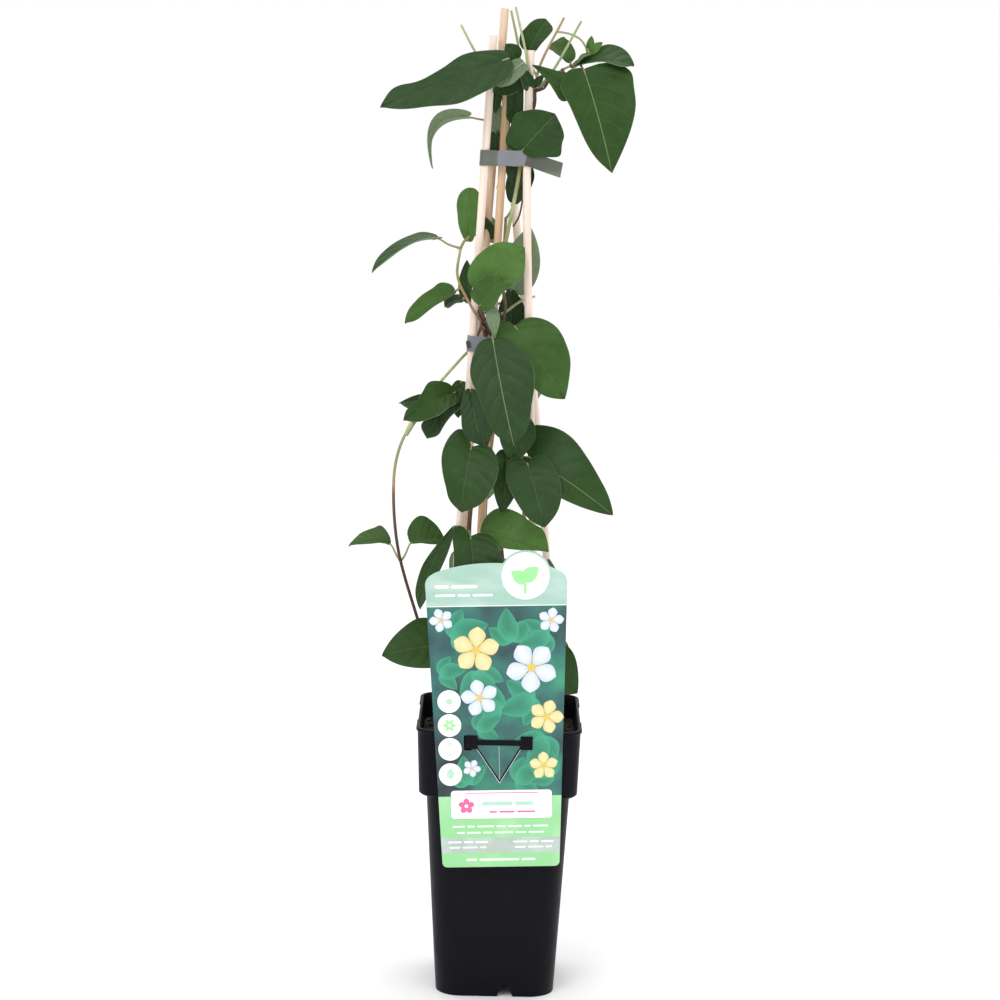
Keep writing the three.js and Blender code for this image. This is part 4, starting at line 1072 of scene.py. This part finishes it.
def nodeBulge(z, nodes):
    # the ridge of a bamboo node, and the shallow waist above it
    height, ridgeHalf = canes["ridge"]
    depth, waistHalf, above = canes["waist"]
    ridge = sum(math.exp(-(((z - node) / ridgeHalf) ** 2)) for node in nodes)
    waist = sum(math.exp(-(((z - node - above) / waistHalf) ** 2)) for node in nodes)
    return ridge * height - waist * depth


def makeCane(name, points):
    bm = bmesh.new()
    bm.verts.layers.float.new("age")
    nodes = canes["nodes"].get(name, [])
    line = smoothLine(points, canes["spacing"].get(name, canes["usualSpacing"]))
    rims = addTube(bm, line, lambda share, centre: (canes["radius"] + nodeBulge(centre.z / mm, nodes)) * mm,
                   canes["sides"], lambda share, centre: max(0, nodeBulge(centre.z / mm + 0.6, nodes)) * 2)
    bevel(bm, rims, canes["chamfer"])
    finishPiece(bm, name + "_wood", [finishes[canes["finish"].get(name, "cane")]],
                [name])


for caneName, canePoints in canes["lines"].items():
    makeCane(caneName, canePoints)


# Two bands of plastic tape drawn tight round the canes, each with a loose end
tape = {
    "thick": 0.4,
    "reach": 3.35,  # from a cane's axis to the middle of the tape
    "around": 180,
    "rows": 8,
    "tailRows": 6,
    "wrinkle": (0.16, 0.3),  # how far the band stands off the canes, least and more
    "sway": 0.35,
    "bandAges": (0.1, 0.6),
    "tailAges": (1.1, 0.7),
    "spacing": 1.2,
    "bands": {
        "tie_upper": {
            "bottom": 551, "top": 561, "half": (4.7, 4.8), "slant": 0.6, "pale": -8,
            "tail": [(11, -13.1, 556), (17, -16, 554.3), (25, -19.5, 551.8), (33.5, -23, 549.3)],
        },
        "tie_lower": {
            "bottom": 431, "top": 441, "half": (2.4, 2.3), "slant": 1.5, "pale": -40,
            "tail": [(-25.6, -19.6, 435.4), (-22.3, -18.2, 436)],
        },
    },
}


def caneAt(line, z):
    for upper, lower in zip(line, line[1:]):
        if upper.z >= z >= lower.z:
            return upper.lerp(lower, (upper.z - z) / (upper.z - lower.z))
    return None


def bandOutline(z):
    # the tight loop round the canes at a height, from its front right corner
    centres = [caneAt(smoothLine(points, canes["usualSpacing"]), z) for points in canes["lines"].values()]
    reach = tape["reach"]
    turns = [i * math.pi / 16 for i in range(32)]
    rim = [Vector((centre.x + reach * math.cos(turn), centre.y + reach * math.sin(turn)))
           for centre in centres if centre for turn in turns]
    hull = [rim[i] for i in convex_hull_2d(rim)]
    first = max(range(len(hull)), key=lambda i: hull[i].x - hull[i].y)
    hull = hull[first:] + hull[:first + 1]
    lengths = lengthsAlong(hull)
    outline = []
    for i in range(tape["around"]):
        target = lengths[-1] * i / tape["around"]
        k = next(k for k in range(len(hull) - 1) if lengths[k + 1] >= target)
        share = (target - lengths[k]) / max(1e-9, lengths[k + 1] - lengths[k])
        outline.append(hull[k].lerp(hull[k + 1], share))
    return outline


def addBand(bm, band, tint):
    around, rows = tape["around"], tape["rows"]
    heights = [lerp(band["bottom"], band["top"], row / rows) for row in range(rows + 1)]
    outlines = [bandOutline(z) for z in heights]
    least, more = tape["wrinkle"]
    grid = addGrid(bm, around, rows)
    for vertex, column, row in grid:
        station = column % around
        before, spot, after = (outlines[row][(station + k) % around] for k in (-1, 0, 1))
        outward = Vector((after.y - before.y, before.x - after.x)).normalized()
        wrinkle = noise.noise((station * 0.23, row * 0.25, 3.0 + band["bottom"]))
        spot = spot + outward * (least + more * abs(wrinkle))
        # the two edges wander up and down on their own
        sway = tape["sway"] * noise.noise((station * 0.09, 2.0 if row > rows / 2 else 7.0, 1.0))
        vertex.co = Vector((spot.x, spot.y, heights[row] + sway)) * mm
        vertex[tint] = tape["bandAges"][spot.x <= band["pale"]]
    bmesh.ops.remove_doubles(bm, verts=[spot[0] for spot in grid], dist=1e-7)


def addTail(bm, band, tint):
    line = smoothLine(band["tail"], tape["spacing"])
    last = len(line) - 1
    for vertex, station, _ in addGrid(bm, last, tape["tailRows"]):
        height = vertex.co.y
        share = station / last
        along = (line[min(station + 1, last)] - line[max(station - 1, 0)]).normalized()
        centre = line[station] + along * (band["slant"] * -height * max(0, share - 0.5) * 2 - 0.4)
        curl = 0.5 * height * height * share + 0.35 * noise.noise((station * 0.12, height, 9.0))
        across = Vector((-along.z, 0, along.x)).normalized()
        rise = across * (height * lerp(*band["half"], share))
        vertex.co = (centre + Vector((0, 0.3 - curl, 0)) + rise) * mm
        vertex[tint] = lerp(*tape["tailAges"], share)


def makeTie(name, band):
    bm = bmesh.new()
    tint = bm.verts.layers.float.new("age")
    addBand(bm, band, tint)
    addTail(bm, band, tint)
    bmesh.ops.recalc_face_normals(bm, faces=bm.faces)
    bmesh.ops.solidify(bm, geom=bm.faces, thickness=tape["thick"] * mm)
    finishPiece(bm, name + "_tape", [finishes["tape"]], [name])


for tieName, tieBand in tape["bands"].items():
    makeTie(tieName, tieBand)
print("pot, soil, canes and ties ready")


# The hanging card, drawn in its own plane round the middle of the pot's bridge
card = {
    "thick": 0.7,
    "round": 0.09,
    "y": -56.55,  # the middle of its thickness
    "z": 179.5,
    "tilt": -2,
    # curves round the edge before and after the bump, which has a middle and a radius
    "before": [[(34.5, -84), (37.2, -84), (38.5, -82.7), (38.5, -80)],
               [(46, 106), (45.7, 109.4), (44, 112.6), (40, 114)]],
    "bump": (19, 110.6, 16.6),
    "crown": [(-10, 119.8), (-23, 118.4), (-36, 114.5)],
    "after": [[(-36, 114.5), (-42, 112.8), (-45.4, 110), (-46, 106)],
              [(-38.5, -80), (-38.5, -82.7), (-37.2, -84), (-34.5, -84)]],
    "cut": [(0, -26.75), (15.72, -1.9), (18, -1.9), (18, -5.1), (22.8, -5.1), (22.8, 5), (18, 5),
            (18, -1.1), (15.28, -1.1), (0, -25.25)],  # right half of the slit round the tongue
    "cutSlope": 24.5 / 15.5,
    "cutFoot": 26.0,
    "mint": (0.35, 0.55, 0.46, 1),
    "mintPale": (0.53, 0.68, 0.62, 1),
    "band": (0.29, 0.65, 0.29, 1),
    "bandPale": (0.38, 0.71, 0.38, 1),
    "strip": (0.42, 0.50, 0.44, 1),
    "picture": [(0.36, (0.008, 0.022, 0.030, 1)), (0.50, (0.018, 0.110, 0.105, 1)),
                (0.68, (0.030, 0.290, 0.170, 1))],
    "header": 91,  # the picture lies between these two heights, and a pale strip below it
    "foot": -36,
    "strips": (-64, -74.5),
}
cardPlace = (Matrix.Translation((0, card["y"] * mm, card["z"] * mm))
             @ Matrix.Rotation(math.radians(card["tilt"]), 4, "Y") @ Matrix.Rotation(math.pi / 2, 4, "X"))


def grey(value):
    return (value, value, value, 1)


def makeCardPlastic():
    # bands of print by height on the front, plain white on the back
    finish = Finish("cardPlastic")
    across, back, up = (finish.place.add("ShaderNodeSeparateXYZ", {}, {"Vector": finish.place}, output=i) / mm
                        for i in range(3))
    up = up - card["z"]
    tilt = math.radians(-card["tilt"])
    x = across * math.cos(tilt) + up * math.sin(tilt)
    z = up * math.cos(tilt) - across * math.sin(tilt)
    cloud = finish.noise(75, 3)
    picture = (finish.noise(24, 2) * 0.75 + cloud * 0.25).ramp(card["picture"])
    header = finish.streaks((22, 22, 70), 2, turn=28).fade(0.4, 0.75).mixed(card["mint"], card["mintPale"])
    band = finish.streaks((45, 45, 20), 2, turn=-35).fade(0.45, 0.7).mixed(card["band"], card["bandPale"])
    cloudy = (cloud.fade(0.4, 0.65) * 0.5).mixed(card["strip"], card["mintPale"])
    high, low = card["strips"]
    strip = z.below(high) * z.above(low)
    colour = z.above(card["header"]).mixed(picture, header)
    colour = z.below(card["foot"]).mixed(colour, strip.mixed(band, cloudy))
    # the cut round the tongue shows its white edge, and a crease runs down the tongue
    outside = (abs(x) * card["cutSlope"] - z - card["cutFoot"]) / math.hypot(1, card["cutSlope"])
    edge = outside.above(0.3) * outside.below(0.75) * z.below(-1.5) * z.above(-28)
    crease = abs(x).below(0.16) * z.below(-2) * z.above(-25)
    colour = edge.larger(crease * 0.5).mixed(colour, grey(0.86))
    colour = back.below(card["y"] - 0.2).mixed(grey(0.82), colour)
    # painted shadow: a near-black band along the slit darkens the cut's walls and a thin rim of the face
    # round the gap
    gapShadow = abs(outside).below(0.52) * z.below(-1.5) * z.above(-28)
    colour = gapShadow.mixed(colour, grey(0.012))
    return finish.wear(colour, 0.26 + finish.noise(40, 2) * 0.1, finish.noise(900, 1), 0.006, coat=0.2)


def bend(points, count=9):
    return interpolate_bezier(*(Vector(point) for point in points), count)


def cardOutline():
    # round the card from its foot, without the point where it closes
    first, second = card["before"]
    edge = [Vector(card["after"][-1][-1]), *bend(first), *bend(second)]
    start, end = math.asin(0.35), math.pi - math.asin(0.5)
    x, z, radius = card["bump"]
    for i in range(41):
        angle = lerp(start, end, i / 40)
        edge.append(Vector((x + radius * math.cos(angle), z + radius * math.sin(angle))))
    first, second = card["after"]
    return edge + bend([edge[-1], *card["crown"]], 17)[1:] + bend(first)[1:] + bend(second)[:-1]


def addLoop(curve, points):
    spline = curve.splines.new("POLY")
    spline.points.add(len(points) - 1)
    for spot, place in zip(spline.points, points):
        spot.co = (place[0] * mm, place[1] * mm, 0, 1)
    spline.use_cyclic_u = True


def makeCard():
    curve = bpy.data.curves.new("card", "CURVE")
    curve.dimensions = "2D"
    curve.fill_mode = "BOTH"
    curve.extrude = (card["thick"] / 2 - card["round"]) * mm
    curve.bevel_depth = card["round"] * mm
    curve.offset = -card["round"] * mm
    curve.bevel_resolution = 1
    addLoop(curve, cardOutline())
    addLoop(curve, card["cut"] + [(-x, z) for x, z in reversed(card["cut"][1:-1])])
    bm = asMesh(addObject("card", curve))
    bmesh.ops.remove_doubles(bm, verts=bm.verts, dist=1e-7)
    bmesh.ops.recalc_face_normals(bm, faces=bm.faces)
    bmesh.ops.transform(bm, matrix=cardPlace, verts=bm.verts)
    finishPiece(bm, "card_sheet", [makeCardPlastic()], ["label_card"], sharp=30)


makeCard()


# What is printed on the card: thin plain shapes just proud of its face. A shaded ink has two colours.
ink = {
    "lift": 0.36,
    "step": 0.03,
    "colours": {
        "inkWhite": [(0.90, 0.92, 0.91, 1)],
        "inkGreen": [(0.32, 0.74, 0.30, 1)],
        "inkPink": [(0.72, 0.12, 0.30, 1)],
        "inkLeaf": [(0.012, 0.185, 0.105, 1), (0.050, 0.390, 0.235, 1)],
        "inkLilac": [(0.76, 0.80, 0.90, 1), (0.46, 0.54, 0.80, 1)],
        "inkCream": [(0.82, 0.75, 0.42, 1), (0.66, 0.52, 0.16, 1)],
        "inkGold": [(0.70, 0.52, 0.10, 1)],
        "inkMint": [(0.42, 0.68, 0.54, 1)],
    },
    "bump": (19, 110.4, 15.5),
    # x, z, size and turn
    "leaves": [(-30, 70, 26, 20), (-14, 48, 24, -70), (10, 67, 23, 100), (34, 72, 22, -160),
               (24, 30, 26, 200), (2, 22, 22, 160), (30, 4, 24, -120), (-14, 8, 18, 30),
               (10, -26, 22, 20), (-20, -28, 20, 100), (36, -22, 20, 150), (-38, 46, 18, 10)],
    "blossoms": [(-14, 62, 15.5, 12, "inkCream"), (22, 50, 17, 50, "inkLilac"),
                 (-12, 30, 12.5, 30, "inkLilac"), (35, 81, 8.5, 5, "inkLilac"),
                 (31, 17, 11.5, 70, "inkCream"), (-36, 82, 8, 40, "inkLilac"),
                 (29, -16, 9.5, 20, "inkCream"), (-18, -17, 6, 64, "inkLilac")],
    "discs": [(-32, 28), (-32, 12), (-32, -4), (-32, -21)],
    "discRadius": 7.6,
}
inks = list(ink["colours"])


def makeInk(name):
    finish = Finish(name)
    dots = finish.noise(160, 2)
    first, *last = ink["colours"][name]
    if last:
        colour = (finish.read("shade") * 0.8 + dots * 0.2).mixed(first, last[0])
    else:
        pale = [min(1, part * 1.06) for part in first]
        colour = dots.fade(0.35, 0.7).mixed(first, pale)
    return finish.wear(colour, 0.27 + dots * 0.08, dots, 0.004, coat=0.2)


class Print:
    # collects the printed shapes, each a little in front of the last layer
    def __init__(self):
        self.bm = bmesh.new()
        self.shade = self.bm.verts.layers.float.new("shade")

    def settle(self, verts, x, z, colour, layer, turn=0):
        place = Matrix.Translation((x * mm, z * mm, (ink["lift"] + layer * ink["step"]) * mm))
        bmesh.ops.transform(self.bm, matrix=place @ Matrix.Rotation(math.radians(turn), 4, "Z"), verts=verts)
        for face in {f for v in verts for f in v.link_faces}:
            face.material_index = inks.index(colour)

    def disc(self, x, z, radius, colour, layer, sides=48):
        verts = bmesh.ops.create_circle(self.bm, cap_ends=True, segments=sides, radius=radius * mm)["verts"]
        self.settle(verts, x, z, colour, layer)

    def bar(self, x, z, length, height, colour, layer=0, corner=0, turn=0):
        before = set(self.bm.verts)
        size = Matrix.Diagonal((length / 2 * mm, height / 2 * mm, 1, 1))
        verts = bmesh.ops.create_grid(self.bm, x_segments=1, y_segments=1, size=1, matrix=size)["verts"]
        if corner:
            bevel(self.bm, verts, corner, 6, "VERTICES")
        verts = [vertex for vertex in self.bm.verts if vertex not in before]
        self.settle(verts, x, z, colour, layer, turn)

    def petal(self, x, z, length, width, turn, colour, layer, blunt=0.5, bend=0, parts=12):
        # a leaf or petal shape that starts at its place and points along `turn`
        verts = bmesh.ops.create_grid(self.bm, x_segments=parts, y_segments=4, size=1)["verts"]
        for vertex in verts:
            u = 0.002 + 0.996 * (vertex.co.x + 1) / 2
            v = vertex.co.y
            half = width / 2 * math.sin(math.pi * u ** blunt) ** 0.8
            vertex[self.shade] = max(abs(v) ** 1.5 * 0.7, 1 - u * 2.5)
            vertex.co = Vector((u * length, half * v + bend * length * math.sin(math.pi * u), 0)) * mm
        self.settle(verts, x, z, colour, layer, turn)

    def wheel(self, x, z, count, turn, rise, colour, layer, *size, **shape):
        # petals all round a place, each `rise` layers in front of the last
        for i in range(count):
            self.petal(x, z, *size, turn + i * 360 / count, colour, layer + rise * i, **shape)

    def blossom(self, x, z, size, turn, colour):
        self.wheel(x, z, 5, turn, 0.2, colour, 4, size, size * 0.72, blunt=1.5)
        self.disc(x, z, size * 0.17, "inkGold", 5.4, 20)
        for i in range(5):
            angle = math.radians(turn + 36 + i * 72)
            self.disc(x + size * 0.34 * math.cos(angle), z + size * 0.34 * math.sin(angle), size * 0.05,
                      "inkGold", 5.4, 12)

    def words(self, x, z, lengths, height, colour="inkWhite", layer=0, gap=1.6):
        # a row of plain bars in place of a line of words
        place = x - (sum(lengths) + gap * (len(lengths) - 1)) / 2
        for length in lengths:
            self.bar(place + length / 2, z, length, height, colour, layer, corner=height * 0.45)
            place += length + gap

    def leaves(self, x, z, size, turn, layer):
        for i, (angle, share) in enumerate(((48, 0.8), (-52, 0.85), (0, 1.0))):
            self.petal(x, z, size * share, size * 0.6 * share, turn + angle, "inkLeaf", layer + 0.1 * i,
                       blunt=0.75, bend=0.06)


def printHeader(page):
    # a white rule and two rows of bars, and the bump's disc with a sprout
    page.bar(0.2, 91, 90.4, 0.5, "inkWhite")
    page.words(-26, 104, (9, 17), 2.1)
    page.words(-21, 98.2, (13, 8, 13), 1.5)
    x, z, radius = ink["bump"]
    page.disc(x, z, radius, "inkWhite", 1, 72)
    page.petal(x - 0.4, z - 4, 13, 9.5, 48, "inkGreen", 2, blunt=0.8, bend=0.08)
    page.petal(x - 0.4, z - 5, 12, 8.5, 137, "inkGreen", 2.4, blunt=0.8, bend=-0.08)
    page.bar(x - 0.4, z - 7.6, 1.8, 8, "inkGreen", 2.8, corner=0.8)


def printPicture(page):
    # round blossoms among leaves
    for i, spot in enumerate(ink["leaves"]):
        page.leaves(*spot, layer=0.2 + 0.3 * i)
    for blossom in ink["blossoms"]:
        page.blossom(*blossom)


def printSigns(page):
    # four white discs with plain signs: sun, flower, height and water
    for x, z in ink["discs"]:
        page.disc(x, z, ink["discRadius"], "inkWhite", 8)
    (x, z), flower, height, water = ink["discs"]
    page.disc(x, z, 2.1, "inkMint", 9, 24)
    for turn in range(0, 360, 45):
        angle = math.radians(turn)
        page.bar(x + 4 * math.cos(angle), z + 4 * math.sin(angle), 1.9, 0.5, "inkMint", 9, turn=turn)
    page.wheel(*flower, 6, 0, 0.15, "inkGreen", 9, 4.8, 2.7, parts=8)
    page.disc(*flower, 1.1, "inkWhite", 10.2, 20)
    x, z = height
    page.bar(x, z, 0.6, 8.4, "inkMint", 9)
    for side in (-1, 1):
        page.bar(x - 0.9, z + side * 3.4, 2.6, 0.55, "inkMint", 9.3, turn=side * 45)
        page.bar(x + 0.9, z + side * 3.4, 2.6, 0.55, "inkMint", 9.6, turn=-side * 45)
    x, z = water
    page.petal(x, z + 4.4, 7.6, 4.8, -90, "inkMint", 9, blunt=1.25)


def printFoot(page):
    # the plate and the plain lines below it
    page.bar(1, -41.5, 66, 19, "inkWhite", 8, corner=2.2)
    page.bar(1.5, -33.8, 47, 0.55, "inkPink", 9)
    page.wheel(-22, -42.5, 5, 90, 0.2, "inkPink", 9, 5.4, 3.9, blunt=1.4, parts=8)
    page.disc(-22, -42.5, 1.2, "inkWhite", 11, 20)
    page.words(5, -41, (20, 12), 2.6, "inkMint", 9)
    page.words(8, -46.6, (5, 10, 12), 1.2, "inkPink", 9)
    page.words(0, -56.4, (8, 5, 11, 6, 9, 4, 10), 1.1)
    page.words(0, -60.6, (5, 9, 6, 12, 7, 10), 1.1)
    for side in (-1, 1):
        page.words(21.5 * side, -67, (9, 6, 8), 1.1)
        page.words(21.5 * side, -70.6, (7, 10, 4), 1.1)
    page.words(0, -79, (7, 26, 9), 1.4)


def makePrint():
    page = Print()
    printHeader(page)
    printPicture(page)
    printSigns(page)
    printFoot(page)
    bmesh.ops.transform(page.bm, matrix=cardPlace, verts=page.bm.verts)
    out = (cardPlace.to_3x3() @ Vector((0, 0, 1))).normalized()
    bmesh.ops.reverse_faces(page.bm, faces=[face for face in page.bm.faces if face.normal.dot(out) < 0])
    finishPiece(page.bm, "card_print", [makeInk(name) for name in inks])


makePrint()
print("card and print ready")
